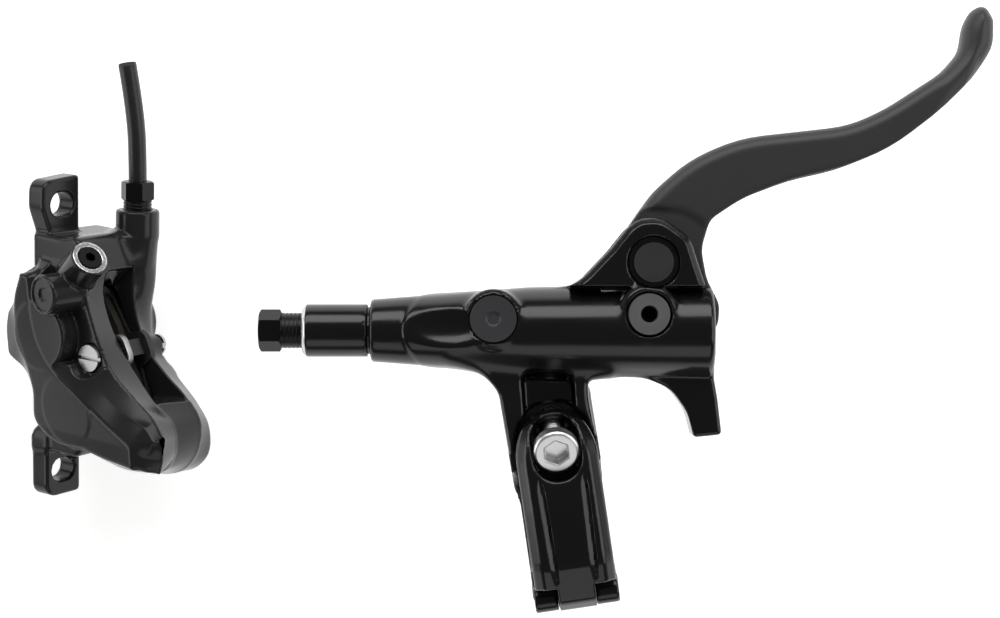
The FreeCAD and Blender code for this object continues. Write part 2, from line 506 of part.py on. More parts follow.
# Reservoir closure: rubber diaphragm, lid and its two screws
lid_low = TANK_FLOOR_Z - LID_T
inset = 0.95
diaphragm = plate([(TANK_L0 + inset, CYL_V - TANK_W / 2 + inset), (TANK_L1 - inset, CYL_V - TANK_W / 2 + inset),
                   (TANK_L1 - inset, CYL_V + TANK_W / 2 - inset), (TANK_L0 + inset, CYL_V + TANK_W / 2 - inset)],
                  4.1, TANK_FLOOR_Z, TANK_FLOOR_Z + DIAPHRAGM_T)
bowl = plate([(TANK_L0 + 8, CYL_V - TANK_W / 2 + 3), (TANK_L1 - 8, CYL_V - TANK_W / 2 + 3),
              (TANK_L1 - 8, CYL_V + TANK_W / 2 - 3), (TANK_L0 + 8, CYL_V + TANK_W / 2 - 3)], 3.0,
             TANK_FLOOR_Z, TANK_FLOOR_Z + 3.4)
bowl_hollow = plate([(TANK_L0 + 9, CYL_V - TANK_W / 2 + 4), (TANK_L1 - 9, CYL_V - TANK_W / 2 + 4),
                     (TANK_L1 - 9, CYL_V + TANK_W / 2 - 4), (TANK_L0 + 9, CYL_V + TANK_W / 2 - 4)], 2.0,
                    TANK_FLOOR_Z - 1, TANK_FLOOR_Z + 2.6)
diaphragm = cut(fuse(diaphragm, bowl), bowl_hollow)
lid = plate([(TANK_L0, CYL_V - TANK_W / 2), (TANK_L1, CYL_V - TANK_W / 2),
             (TANK_L1, CYL_V + TANK_W / 2), (TANK_L0, CYL_V + TANK_W / 2)], 5.0, lid_low, TANK_FLOOR_Z)
for u in lid_screws_u:
    lid = lid.cut(cyl(LID_SCREW_D / 2, V(u, CYL_V, lid_low - 1), V(u, CYL_V, TANK_FLOOR_Z + 1)))
    diaphragm = diaphragm.cut(cyl(LID_SCREW_D / 2, V(u, CYL_V, lid_low - 1), V(u, CYL_V, TANK_FLOOR_Z + 4)))
keep("reservoir_diaphragm", diaphragm, TO_BAR)
keep("reservoir_lid", lid, TO_BAR)
screws = []
for u in lid_screws_u:
    head = cyl(2.2, V(u, CYL_V, lid_low - 1.3), V(u, CYL_V, lid_low))
    head = head.cut(hexagon(2.0, V(u, CYL_V, lid_low - 2), V(u, CYL_V, lid_low - 0.3)))
    shank = cyl(LID_SCREW_D / 2, V(u, CYL_V, lid_low), V(u, CYL_V, -8.0))
    screws.append(fuse(head, shank))
keep("reservoir_lid_screws", Part.makeCompound(screws), TO_BAR)

# Bleed screw with its ring, and the plug of the filling port
bleed_floor = PORT_TOP_Z - 2.6
bleed = fuse(cyl(BLEED_D / 2 - 0.4, V(BLEED_U, BLEED_V, bleed_floor + 1.0), V(BLEED_U, BLEED_V, PORT_TOP_Z + 0.6)),
             cyl(2.5, V(BLEED_U, BLEED_V, slot_hi + 1.6), V(BLEED_U, BLEED_V, bleed_floor + 1.2)))
bleed = bleed.cut(hexagon(2.5, V(BLEED_U, BLEED_V, PORT_TOP_Z - 2.0), V(BLEED_U, BLEED_V, PORT_TOP_Z + 2)))
bleed = bleed.cut(cyl(1.95, V(BLEED_U, BLEED_V, PORT_TOP_Z - 0.2), V(BLEED_U, BLEED_V, PORT_TOP_Z + 2)))
keep("bleed_screw", bleed, TO_BAR)
bleed_ring = cyl(BLEED_D / 2 - 0.2, V(BLEED_U, BLEED_V, bleed_floor), V(BLEED_U, BLEED_V, bleed_floor + 1.0))
keep("bleed_screw_ring", cut(bleed_ring, cyl(2.5, V(BLEED_U, BLEED_V, 0), V(BLEED_U, BLEED_V, 20))), TO_BAR)
plug = fuse(cyl(PLUG_D / 2, V(PLUG_U, PLUG_V, PORT_TOP_Z - 3.4), V(PLUG_U, PLUG_V, PORT_TOP_Z - 0.4)),
            cyl(1.6, V(PLUG_U, PLUG_V, CYL_Z + 6.0), V(PLUG_U, PLUG_V, PORT_TOP_Z - 3.0)))
plug = plug.cut(cone(1.2, 1.8, V(PLUG_U, PLUG_V, PORT_TOP_Z - 0.8), V(PLUG_U, PLUG_V, PORT_TOP_Z - 0.3)))
keep("fill_port_plug", plug, TO_BAR)


def hose_nut(base, out, thread_in, thread_out, head, through):
    """Flare nut: threaded shank in the part, bare thread, hexagon head, drilled through."""
    shank = cyl(NUT_THREAD_D / 2, base.sub(out * thread_in), base.add(out * thread_out))
    body_hex = hexagon(NUT_AF, base.add(out * thread_out), base.add(out * (thread_out + head)))
    return cut(fuse(shank, body_hex), cyl(through / 2, base.sub(out * 30), base.add(out * 30)))


nose_base = V(NOSE_END, CYL_V, CYL_Z)
keep("lever_hose_nut", hose_nut(nose_base, V(-1, 0, 0), 7.5, 4.6, 4.8, HOSE_D + 0.2), TO_BAR)

# Caliper body
mid = V(PISTON_MID_A, 0, PISTON_MID_T)
line = V(math.sin(math.radians(PISTON_LINE)), 0, -math.cos(math.radians(PISTON_LINE)))
out_dir = V(math.cos(math.radians(PISTON_LINE)), 0, math.sin(math.radians(PISTON_LINE)))
centres = [mid.sub(line * (PISTON_SPACING / 2)), mid.add(line * (PISTON_SPACING / 2))]
half_post = POST_SPACING / 2
ear_top = POST_MID_T + half_post
ear_low = POST_MID_T - half_post

back_edge = [(-6.0, 11.5), (-10.2, 3.5), (-8.1, -5.4), (-1.1, -9.1), (0.8, -13.6), (1.5, -22.1), (8.0, -27.0)]
side_face = [(-4.4, 18.5), (-6.6, 11.0), (-5.4, 4.2), (-2.2, -4.6), (-0.5, -9.0), (0.6, -13.0), (1.5, -21.5),
             (7.2, -25.9), (18.0, -26.2), (26.0, -27.4), (37.7, -29.0), (36.95, -23.4), (27.9, -18.4),
             (18.6, -13.0), (6.6, -5.2), (2.8, -0.3), (0.2, 6.3), (-1.2, 17.5)]
bulge = [(-8.4, 11.5), (-13.2, 3.2), (-12.0, -4.6), (-5.0, -9.1), (-2.6, -13.6), (-1.6, -22.1), (7.0, -27.0)]
shoulder = [(-3.0, 20.5)] + bulge + [(18.0, -27.8), (26.5, -30.0), (38.1, -30.0), (38.7, -22.2), (38.0, -19.8),
                                         (29.9, -14.7), (21.0, -8.7), (11.9, 1.0), (9.0, 7.0), (7.4, 19.2)]
crest = [(-2.0, 22.0)] + back_edge + [(18.0, -29.5), (27.0, -32.6), (38.5, -31.0), (40.5, -21.0), (39.0, -16.3),
                                      (32.0, -11.0), (23.5, -4.3), (17.2, 7.2), (14.8, 13.9), (13.6, 21.0)]
window_edge = [(-3.0, 22.0)] + back_edge + [(17.0, -33.0), (28.0, -35.0), (37.5, -31.2), (39.0, -21.0),
                                            (33.5, -15.8), (27.5, -9.8), (20.1, -2.0), (14.5, 7.0),
                                            (12.6, 14.2), (14.0, 20.4)]
left_r = ROTOR_R - SLOT_HALF
right_r = ROTOR_R + SLOT_HALF
SHOULDER_R = (BODY_OUT + CREST_R) / 2
LOBE_WALL = 1.6
lobe_r = PISTON_D / 2 + LOBE_WALL
lobe_pocket = slab([(2.0, -4.5), (26.0, -4.5), (26.0, 27.0), (2.0, 27.0)], 0.1, BODY_OUT - 4.0, CREST_R)
lobe_pocket = lobe_pocket.cut(cyl(lobe_r - 0.5, V(centres[0].x, BODY_OUT - 5.0, centres[0].z),
                                  V(centres[0].x, CREST_R, centres[0].z)))
left_shell = fuse(skin(side_face, shoulder, BODY_OUT, SHOULDER_R), skin(shoulder, crest, SHOULDER_R, CREST_R))
left_shell = left_shell.cut(lobe_pocket)
left_wall = skin(crest, window_edge, CREST_R, left_r)
inner_edge = [(-4.0, 24.0), (-6.0, 11.5), (-10.2, 3.5), (-8.1, -5.4), (-1.1, -9.1), (0.8, -13.6), (2.5, -24.0),
              (9.0, -33.0), (18.0, -38.0), (26.0, -38.0), (33.0, -34.5), (37.0, -27.5), (37.5, -21.0),
              (32.1, -14.5),
              (22.0, -7.0), (17.1, -2.1), (14.0, 3.2), (11.4, 12.7), (9.8, 19.8), (9.5, 24.0)]
inner_face = [(-3.0, 23.0), (-5.0, 11.5), (-9.0, 3.5), (-7.3, -5.0), (-0.5, -9.0), (1.5, -14.0), (3.2, -24.0),
              (9.4, -32.0), (17.5, -37.5), (25.1, -37.2), (30.7, -34.0), (35.1, -27.5), (34.0, -23.0), (30.5, -18.9),
              (23.0, -11.8), (16.5, -4.7), (14.6, -0.7), (10.5, 5.6), (9.5, 19.0), (9.0, 23.0)]
right_wall = skin(inner_edge, inner_face, right_r, BODY_IN)
foot = slab([(20.0, -14.0), (32.8, -15.2), (38.3, -21.0), (37.0, -30.5), (29.0, -36.0), (17.0, -36.0),
             (9.0, -29.0)], [1, 1, 3, 3, 3, 5, 2], left_r - 1, right_r + 1)
neck = slab([(-5.5, 19.0), (14.0, 19.0), (14.0, 22.0), (12.0, 29.5), (5.0, 28.6), (-5.5, 29.0)],
            [1, 1, 2, 3, 4, 1], CREST_R, right_r + 5.5)
ears_c = []
for t0, t1, radii in ((ear_top - 10.0, ear_top + EAR_LEN / 2, [0.5, 0.5, 3.5, 3.5]),
                      (ear_low - EAR_LEN / 2, ear_low + 10.0, [3.5, 3.5, 0.5, 0.5])):
    ear_pts = [(-EAR_W / 2, t0), (EAR_W / 2, t0), (EAR_W / 2, t1), (-EAR_W / 2, t1)]
    ears_c.append(side_plate(ear_pts, radii, -EAR_THICK, 0))
low_web = slab([(-5.8, -24.6), (3.0, -18.0), (14.0, -24.0), (12.0, -31.5), (0.0, -31.0), (-5.8, -31.5)],
               [1, 2, 3, 3, 2, 1], -6.2, EAR_W / 2)
hose_base = V(HOSE_BOSS_A, HOSE_BOSS_R, HOSE_BOSS_TOP)
hose_edge = V(HOSE_BOSS_A, HOSE_BOSS_R, HOSE_BOSS_TOP - 0.8)
HOSE_BOSS_NECK = 26.0
HOSE_BOSS_FOOT = 3.0
hose_taper = V(HOSE_BOSS_A, HOSE_BOSS_R, HOSE_BOSS_NECK)
hose_foot = V(HOSE_BOSS_A, HOSE_BOSS_R, HOSE_BOSS_FOOT)
hose_boss = fuse(cyl(HOSE_BOSS_D / 2, hose_taper, hose_edge),
                 cone(HOSE_BOSS_D / 2, HOSE_BOSS_D / 2 - 0.8, hose_edge, hose_base),
                 cone(HOSE_BOSS_D / 2, HOSE_BOSS_D / 2 - 1.6, hose_taper, hose_foot))
NIPPLE_D = 6.4
BLEED_BOSS_D = 10.2
bleed_axis = V(0.747, -0.221, 0.628)
bleed_axis.normalize()
bleed_out = V(17.7, -7.3, 24.8)
bleed_in = bleed_out.sub(bleed_axis * 12.0)
nipple_boss = cyl(BLEED_BOSS_D / 2, bleed_in, bleed_out)
PORT_BOSS_D = 10.8
PORT_PLUG_D = 8.6
port_axis = V(-0.15, -0.985, -0.02)
port_axis.normalize()
port_out = V(7.9, BODY_OUT - 3.4, 14.5)


def port_at(depth):
    """Point on the port's axis below its boss's end."""
    return port_out.sub(port_axis * depth)


port_boss = cyl(PORT_BOSS_D / 2, port_at(11.0), port_out)
BORE_OUT = left_r - BORE_DEPTH
INNER_DEPTH = 7.6
lobe_caps = [cyl(lobe_r, V(c.x, CREST_R + 1.0, c.z), V(c.x, BODY_OUT - 0.1, c.z)) for c in centres]
inner_cap_r = right_r + INNER_DEPTH + BORE_END_WALL
inner_caps = [cyl(PISTON_D / 2 + 2.0, V(c.x, right_r + 1, c.z), V(c.x, inner_cap_r, c.z))
              for c in centres]
axle_c = mid.add(out_dir * AXLE_OFFSET)
axle_boss = cyl(AXLE_D / 2 + 1.4, V(axle_c.x, right_r, axle_c.z), V(axle_c.x, right_r + 5.0, axle_c.z))
caliper = union(left_shell, left_wall, foot, right_wall, neck, *ears_c, low_web, hose_boss, *lobe_caps,
                *inner_caps, port_boss, axle_boss, nipple_boss)


def across(s, w):
    """Point s along the row of pistons and w outwards from it."""
    return V(mid.x + line.x * s + out_dir.x * w, 0, mid.z + line.z * s + out_dir.z * w)


def strip(w0, w1, s_half, r0, r1):
    pts = [across(-s_half, w0), across(s_half, w0), across(s_half, w1), across(-s_half, w1)]
    return slab([(p.x, p.z) for p in pts], 0.1, r0, r1)


PAD_END_ROOM = 0.4
pad_pocket = strip(-PAD_W / 2 - 12.0, PAD_W / 2 + 0.6, PAD_L / 2 + PAD_END_ROOM, left_r, right_r)
rotor_mid = across(0, AXLE_OFFSET + 1.5 - ROTOR_REACH)
rotor_face = V(rotor_mid.x, ROTOR_R - ROTOR_ROOM / 2, rotor_mid.z)
rotor_channel = Part.makeCylinder(ROTOR_REACH, ROTOR_ROOM, rotor_face, V(0, 1, 0))
window = slab([(5.0, 12.0), (13.0, 19.6), (50.0, 19.0), (50.0, -14.6), (32.2, -14.6), (20.0, -16.0),
               (14.0, -14.0)], 1.0, left_r, right_r)
caliper = cut(caliper, pad_pocket, rotor_channel, window)
piston_r = PISTON_D / 2
bores = []
for c in centres:
    bores.append(cyl(piston_r, V(c.x, BORE_OUT, c.z), V(c.x, left_r + 1, c.z)))
    bores.append(cyl(piston_r, V(c.x, right_r - 1, c.z), V(c.x, right_r + INNER_DEPTH, c.z)))
SEAL_GROOVE_W = 2.0
SEAL_GROOVE_D = 1.4
SEAL_SET_BACK = 3.0
for c in centres:
    for r0 in (left_r - SEAL_SET_BACK - SEAL_GROOVE_W, right_r + SEAL_SET_BACK):
        bores.append(cyl(piston_r + SEAL_GROOVE_D, V(c.x, r0, c.z), V(c.x, r0 + SEAL_GROOVE_W, c.z)))
slots = []
for t in (ear_top, ear_low):
    half = (SLOT_LEN - SLOT_W) / 2
    slots += [cyl(SLOT_W / 2, V(-20, -half, t), V(5, -half, t)), cyl(SLOT_W / 2, V(-20, half, t), V(5, half, t)),
              Part.makeBox(25, 2 * half, SLOT_W, V(-20, -half, t - SLOT_W / 2))]
AXLE_SEAT = CREST_R + 0.8
AXLE_END = right_r + 5.0
axle_hole = fuse(cyl(AXLE_D / 2, V(axle_c.x, BODY_OUT - 1, axle_c.z), V(axle_c.x, BODY_IN + 3, axle_c.z)),
                 cyl(3.7, V(axle_c.x, BODY_OUT - 6, axle_c.z), V(axle_c.x, AXLE_SEAT, axle_c.z)),
                 cyl(3.6, V(axle_c.x, AXLE_END, axle_c.z), V(axle_c.x, BODY_IN + 4, axle_c.z)))
axle_recess = cyl(4.2, V(axle_c.x + 0.8, BODY_OUT - 6, axle_c.z - 0.4),
                  V(axle_c.x + 0.8, AXLE_SEAT - 1.0, axle_c.z - 0.4))
drill_way = cyl(1.0, V(centres[0].x, BORE_OUT + 1.5, centres[0].z),
                V(centres[1].x, BORE_OUT + 1.5, centres[1].z))
hose_hole = fuse(cyl(NUT_THREAD_D / 2, V(HOSE_BOSS_A, HOSE_BOSS_R, HOSE_BOSS_TOP - 9.0),
                     V(HOSE_BOSS_A, HOSE_BOSS_R, HOSE_BOSS_TOP + 5)),
                 cyl(3.0, V(HOSE_BOSS_A, HOSE_BOSS_R, HOSE_BOSS_TOP - 15.0), hose_base),
                 cyl(1.2, V(HOSE_BOSS_A, HOSE_BOSS_R, 6.0), V(HOSE_BOSS_A, HOSE_BOSS_R, HOSE_BOSS_TOP - 14)))
nipple_hole = fuse(cyl(NIPPLE_D / 2, bleed_out.sub(bleed_axis * 7.0), bleed_out.add(bleed_axis * 5)),
                   cyl(0.9, bleed_out.sub(bleed_axis * 17.0), bleed_out))
PLUG_SEAT = 3.0
STEM_END = 9.4
port_hole = fuse(cyl(PORT_PLUG_D / 2 + 0.1, port_at(PLUG_SEAT), port_at(-5.0)),
                 cyl(2.0, port_at(STEM_END), port_out),
                 cyl(1.0, port_at(STEM_END - 1.0), V(centres[0].x, BORE_OUT + 1.2, centres[0].z)))
cross_way = cyl(1.0, V(HOSE_BOSS_A, HOSE_BOSS_R, 19.5), bleed_out.sub(bleed_axis * 15.0))
caliper = cut(caliper, *bores, *slots, axle_hole, axle_recess, drill_way, hose_hole, nipple_hole, port_hole,
              cross_way)
caliper = max(caliper.Solids, key=lambda s: s.Volume)
keep("caliper_body", caliper, TO_CALIPER)

# Four pistons, cups open towards the fluid, each in its square seal
PISTON_WALL = 1.6
piston_names = ("outer_upper", "outer_lower", "inner_upper", "inner_lower")
faces_r = (ROTOR_R - ROTOR_T / 2 - PAD_REST_GAP - PAD_LINING_T - PAD_PLATE_T,
           ROTOR_R + ROTOR_T / 2 + PAD_REST_GAP + PAD_LINING_T + PAD_PLATE_T)
for i, name in enumerate(piston_names):
    c = centres[i % 2]
    way = -1 if i < 2 else 1
    length = PISTON_LEN if way < 0 else 6.6
    face = faces_r[0] if way < 0 else faces_r[1]
    cup = cyl(piston_r - RUNNING, V(c.x, face, c.z), V(c.x, face + way * length, c.z))
    hollow = cyl(piston_r - PISTON_WALL, V(c.x, face + way * 2.4, c.z), V(c.x, face + way * (length + 1), c.z))
    keep("piston_" + name, cup.cut(hollow), TO_CALIPER)
    r0 = left_r - SEAL_SET_BACK - SEAL_GROOVE_W if way < 0 else right_r + SEAL_SET_BACK
    seal = cyl(piston_r + SEAL_GROOVE_D, V(c.x, r0, c.z), V(c.x, r0 + SEAL_GROOVE_W, c.z)).cut(
        cyl(piston_r - RUNNING + 0.03, V(c.x, r0 - 1, c.z), V(c.x, r0 + SEAL_GROOVE_W + 1, c.z)))
    keep("piston_seal_" + name, seal, TO_CALIPER)


def pad_outline(length, width, tab):
    """Pad outline about the piston mid point: rounded bar with an eye for the axle."""
    hl = length / 2
    hw = width / 2
    pts = [(-hl, -hw), (hl, -hw), (hl, hw - 1.5), (8.5, hw), (5.0, hw + 0.6), (4.2, tab), (-4.2, tab), (-5.0, hw + 0.6),
           (-8.5, hw), (-hl, hw - 1.5)]
    if tab <= hw:
        pts = [(-hl, -hw), (hl, -hw), (hl, hw - 1.5), (8.5, hw), (-8.5, hw), (-hl, hw - 1.5)]
    return [(mid.x + line.x * s + out_dir.x * w, mid.z + line.z * s + out_dir.z * w) for s, w in pts]


eye_tab = AXLE_OFFSET + 4.0
for name, way, face in (("outer", 1, faces_r[0]), ("inner", -1, faces_r[1])):
    back = slab(pad_outline(PAD_L, PAD_W, eye_tab), [2, 2, 3, 2, 1, 3.6, 3.6, 1, 2, 3], min(face, face + way * PAD_PLATE_T),
                max(face, face + way * PAD_PLATE_T))
    back = back.cut(cyl(AXLE_D / 2 + 0.08, V(axle_c.x, -30, axle_c.z), V(axle_c.x, 40, axle_c.z)))
    lining_face = face + way * PAD_PLATE_T
    lining = slab(pad_outline(PAD_L - 4, PAD_W - 2, 0), 2.0, min(lining_face, lining_face + way * PAD_LINING_T),
                  max(lining_face, lining_face + way * PAD_LINING_T))
    keep("pad_backplate_" + name, back, TO_CALIPER)
    keep("pad_lining_" + name, lining, TO_CALIPER)

# Leaf spring between the pads, wrapped over the axle
SPRING_T = 0.4
spring_in = faces_r[0] + PAD_PLATE_T + 0.9
spring_out = faces_r[1] - PAD_PLATE_T - 0.9
leaf_w = 4.6
spring = fuse(strip(AXLE_OFFSET + 2.2, AXLE_OFFSET + 2.2 + SPRING_T, leaf_w / 2, spring_in, spring_out),
              strip(8.4, AXLE_OFFSET + 2.2 + SPRING_T, leaf_w / 2, spring_in, spring_in + SPRING_T),
              strip(8.4, AXLE_OFFSET + 2.2 + SPRING_T, leaf_w / 2, spring_out - SPRING_T, spring_out))
spring = spring.cut(cyl(AXLE_D / 2 + 0.25, V(axle_c.x, -30, axle_c.z), V(axle_c.x, 40, axle_c.z)))
keep("pad_spring", spring, TO_CALIPER)

# Pad axle with a slotted head, held by a snap ring at its tip
AXLE_HEAD_H = 2.0
axle = fuse(cyl(AXLE_D / 2, V(axle_c.x, AXLE_SEAT, axle_c.z), V(axle_c.x, AXLE_END + 2.2, axle_c.z)),
            cyl(3.6, V(axle_c.x, AXLE_SEAT - AXLE_HEAD_H, axle_c.z), V(axle_c.x, AXLE_SEAT, axle_c.z)))
axle = cut(axle, Part.makeBox(8, 1.2, 1.0, V(axle_c.x - 4, AXLE_SEAT - AXLE_HEAD_H - 0.2, axle_c.z - 0.5)))
CLIP_R = AXLE_END + 0.1
axle = axle.cut(cyl(AXLE_D, V(axle_c.x, CLIP_R, axle_c.z), V(axle_c.x, CLIP_R + 0.7, axle_c.z)).cut(
    cyl(AXLE_D / 2 - 0.4, V(axle_c.x, CLIP_R - 1, axle_c.z), V(axle_c.x, CLIP_R + 2, axle_c.z))))
keep("pad_axle", axle, TO_CALIPER)
clip = cut(cyl(2.9, V(axle_c.x, CLIP_R, axle_c.z), V(axle_c.x, CLIP_R + 0.7, axle_c.z)),
           cyl(AXLE_D / 2 - 0.4, V(axle_c.x, CLIP_R - 1, axle_c.z), V(axle_c.x, CLIP_R + 2, axle_c.z)),
           Part.makeBox(5, 3, 1.6, V(axle_c.x, CLIP_R - 1, axle_c.z - 0.8)))
keep("axle_snap_ring", clip, TO_CALIPER)

# Bleed nipple and cross-port plug
nipple = fuse(cyl(NIPPLE_D / 2, bleed_out.sub(bleed_axis * 6.4), bleed_out.add(bleed_axis * 0.3)),
              cone(NIPPLE_D / 2, 1.4, bleed_out.sub(bleed_axis * 6.4), bleed_out.sub(bleed_axis * 6.9)))
nipple = nipple.cut(hexagon(2.5, bleed_out.sub(bleed_axis * 2.5), bleed_out.add(bleed_axis * 2)))
keep("bleed_nipple", nipple, TO_CALIPER)
port_plug = fuse(cyl(PORT_PLUG_D / 2, port_at(PLUG_SEAT), port_at(0.4)),
                 cyl(2.0, port_at(STEM_END - 3.0), port_at(PLUG_SEAT)))
port_plug = port_plug.cut(cone(2.2, 1.5, port_at(0.3), port_at(0.9)))
keep("cross_port_plug", port_plug, TO_CALIPER)

# Hose end at the caliper: nut, olive, barbed insert and the cut length of hose
up = V(0, 0, 1)
NUT_IN = 7.5
keep("caliper_hose_nut", hose_nut(hose_base, up, NUT_IN, 2.6, 5.2, HOSE_D + 0.2), TO_CALIPER)
olive_top = hose_base.sub(up * NUT_IN)
olive = cut(fuse(cone(2.9, 2.95, olive_top.sub(up * 5.0), olive_top.sub(up * 2.5)),
                 cyl(2.95, olive_top.sub(up * 2.5), olive_top)),
            cyl(HOSE_D / 2, olive_top.sub(up * 30), olive_top.add(up * 30)))
keep("hose_olive", olive, TO_CALIPER)
hose_start = hose_base.sub(up * 14.0)
insert = cut(fuse(cyl(HOSE_BORE / 2, hose_start, hose_start.add(up * 10)),
                  cyl(2.4, hose_start.sub(up * 1.0), hose_start)),
             cyl(0.6, hose_start.sub(up * 5), hose_start.add(up * 30)))
keep("hose_insert", insert, TO_CALIPER)

# Route of the cut hose in caliper axes, straight out of the nut and leaning back a little
HOSE_ROUTE = [(11.0, 17.5, 20.9), (11.0, 17.5, 46.0), (10.1, 17.6, 60.5), (7.2, 17.9, 75.0)]


def tube_path(points):
    """Straight runs joined by tangent arcs, each as large as its two runs allow."""
    pts = [V(*p) for p in points]
    edges = []
    start = pts[0]
    for i in range(1, len(pts) - 1):
        a = pts[i - 1].sub(pts[i])
        b = pts[i + 1].sub(pts[i])
        run = min(a.Length, b.Length)
        a.normalize()
        b.normalize()
        turn = math.pi - math.acos(a.dot(b))
        reach = 0.45 * run
        radius = reach / math.tan(turn / 2)
        bis = a.add(b)
        bis.normalize()
        p0 = pts[i].add(a * reach)
        p1 = pts[i].add(b * reach)
        centre = pts[i].add(bis * (radius / math.cos(turn / 2)))
        edges.append(Part.LineSegment(start, p0).toShape())
        edges.append(Part.Arc(p0, centre.sub(bis * radius), p1).toShape())
        print("hose bend", i, "radius", round(radius, 1))
        start = p1
    edges.append(Part.LineSegment(start, pts[-1]).toShape())
    return Part.Wire(edges)


path = tube_path(HOSE_ROUTE)
first = V(*HOSE_ROUTE[0])
outer = path.makePipeShell([Part.Wire(Part.makeCircle(HOSE_D / 2, first, up))], True, False)
inner = path.makePipeShell([Part.Wire(Part.makeCircle(HOSE_BORE / 2, first, up))], True, False)
hose = outer.cut(inner)
section = math.pi * ((HOSE_D / 2) ** 2 - (HOSE_BORE / 2) ** 2)
print("hose length", round(path.Length, 2), "volume ratio", round(hose.Volume / (section * path.Length), 4))
keep("brake_hose", hose, TO_CALIPER)
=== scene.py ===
# A bicycle's hydraulic disc brake: the lever unit that clamps on the handlebar, and the
# four-piston caliper with a cut end of hose. Pieces stay in the order in which they go together.
import math

import bpy
import numpy as np
from mathutils import Matrix, Vector


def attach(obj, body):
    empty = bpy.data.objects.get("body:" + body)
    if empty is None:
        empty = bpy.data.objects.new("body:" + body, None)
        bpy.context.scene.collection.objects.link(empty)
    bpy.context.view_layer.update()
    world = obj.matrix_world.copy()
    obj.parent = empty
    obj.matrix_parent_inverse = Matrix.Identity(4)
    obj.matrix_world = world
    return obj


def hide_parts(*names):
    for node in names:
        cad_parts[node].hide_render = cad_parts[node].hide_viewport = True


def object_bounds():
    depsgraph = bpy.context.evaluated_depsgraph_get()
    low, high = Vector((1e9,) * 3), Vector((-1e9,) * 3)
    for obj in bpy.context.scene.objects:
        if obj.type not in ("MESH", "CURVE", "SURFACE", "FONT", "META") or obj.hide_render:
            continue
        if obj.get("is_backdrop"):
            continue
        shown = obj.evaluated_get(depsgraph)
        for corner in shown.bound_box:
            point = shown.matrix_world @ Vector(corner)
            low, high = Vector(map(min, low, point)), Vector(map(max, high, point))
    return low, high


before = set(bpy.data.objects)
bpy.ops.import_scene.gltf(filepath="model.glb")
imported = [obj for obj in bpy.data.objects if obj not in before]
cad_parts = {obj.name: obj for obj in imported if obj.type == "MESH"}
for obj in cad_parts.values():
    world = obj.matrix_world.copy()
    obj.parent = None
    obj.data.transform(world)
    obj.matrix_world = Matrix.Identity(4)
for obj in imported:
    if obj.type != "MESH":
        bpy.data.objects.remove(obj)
scene = bpy.context.scene
MM = 0.001
boxes = {"cad": [list(corner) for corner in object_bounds()]}

# The view: a product photograph taken straight down on the lever unit with a moderate lens.
# The lever unit lies nearer to the lens than the caliper, which is smaller in the picture.
TILT = math.radians(8.4)
LENS_HEIGHT = 450 * MM
FOCAL_LENGTH = 73.87


def in_scene(name, data):
    """New object that shows the given mesh, curve, lamp or camera."""
    made = bpy.data.objects.new(name, data)
    scene.collection.objects.link(made)
    return made


camera = in_scene("camera", bpy.data.cameras.new("camera"))
camera.location = (-7.45 * MM, 47.09 * MM, LENS_HEIGHT)
camera.rotation_euler = (0, 0, -TILT)
camera.data.lens = FOCAL_LENGTH
camera.data.sensor_width = 36
camera.data.clip_start = 0.01
scene.camera = camera

# Studio: a white table under the brake, one wide softbox above the far side of the lever,
# lower panels left, right and near, and a dim room that keeps the black paint black.
scene.view_settings.view_transform = "Standard"
room = bpy.data.worlds.new("room")
scene.world = room
room.use_nodes = True
room.node_tree.nodes["Background"].inputs["Color"].default_value = (1, 1, 1, 1)
room.node_tree.nodes["Background"].inputs["Strength"].default_value = 0.12
AIM = Vector((-20 * MM, 45 * MM, -40 * MM))


def softbox(name, bearing, height, distance, width, length, power):
    """Area light aimed at the brake; bearing from the picture's right, height above the table, in degrees."""
    lamp = bpy.data.lights.new(name, "AREA")
    lamp.shape = "RECTANGLE"
    lamp.size = width
    lamp.size_y = length
    lamp.energy = power
    holder = in_scene(name, lamp)
    turn = math.radians(bearing) - TILT
    rise = math.radians(height)
    out = Vector((math.cos(turn) * math.cos(rise), math.sin(turn) * math.cos(rise), math.sin(rise)))
    holder.location = AIM + out * distance
    holder.rotation_euler = (-out).to_track_quat("-Z", "Y").to_euler()


softbox("softbox_far", 92, 37, 0.9, 1.3, 0.5, 6.5)
softbox("panel_left", 178, 14, 0.9, 0.8, 0.35, 2.0)
softbox("panel_right", 4, 30, 0.9, 0.8, 0.6, 2.6)
softbox("panel_near", 274, 35, 1.0, 0.8, 0.5, 1.1)
TABLE_HALF = 6.0
TABLE_HEIGHT = min(corner[2] for corner in boxes["cad"]) - 1 * MM
table = bpy.data.meshes.new("table")
table.from_pydata([(x * TABLE_HALF, y * TABLE_HALF, TABLE_HEIGHT)
                   for x, y in ((-1, -1), (1, -1), (1, 1), (-1, 1))], [], [(0, 1, 2, 3)])
table_top = in_scene("table_top", table)


class Value:
    """An output in a material; sums and products on it add the nodes that work them out."""

    def __init__(self, finish, socket):
        self.finish = finish
        self.socket = socket

    def _math(self, operation, a, b):
        return self.finish.node("Math", {"operation": operation}, {0: a, 1: b})

    def __add__(self, other):
        return self._math("ADD", self, other)

    def __sub__(self, other):
        return self._math("SUBTRACT", self, other)

    def __rsub__(self, other):
        return self._math("SUBTRACT", other, self)

    def __mul__(self, other):
        return self._math("MULTIPLY", self, other)

    def __gt__(self, other):
        return self._math("GREATER_THAN", self, other)

    def __lt__(self, other):
        return self._math("LESS_THAN", self, other)

    __radd__ = __add__
    __rmul__ = __mul__


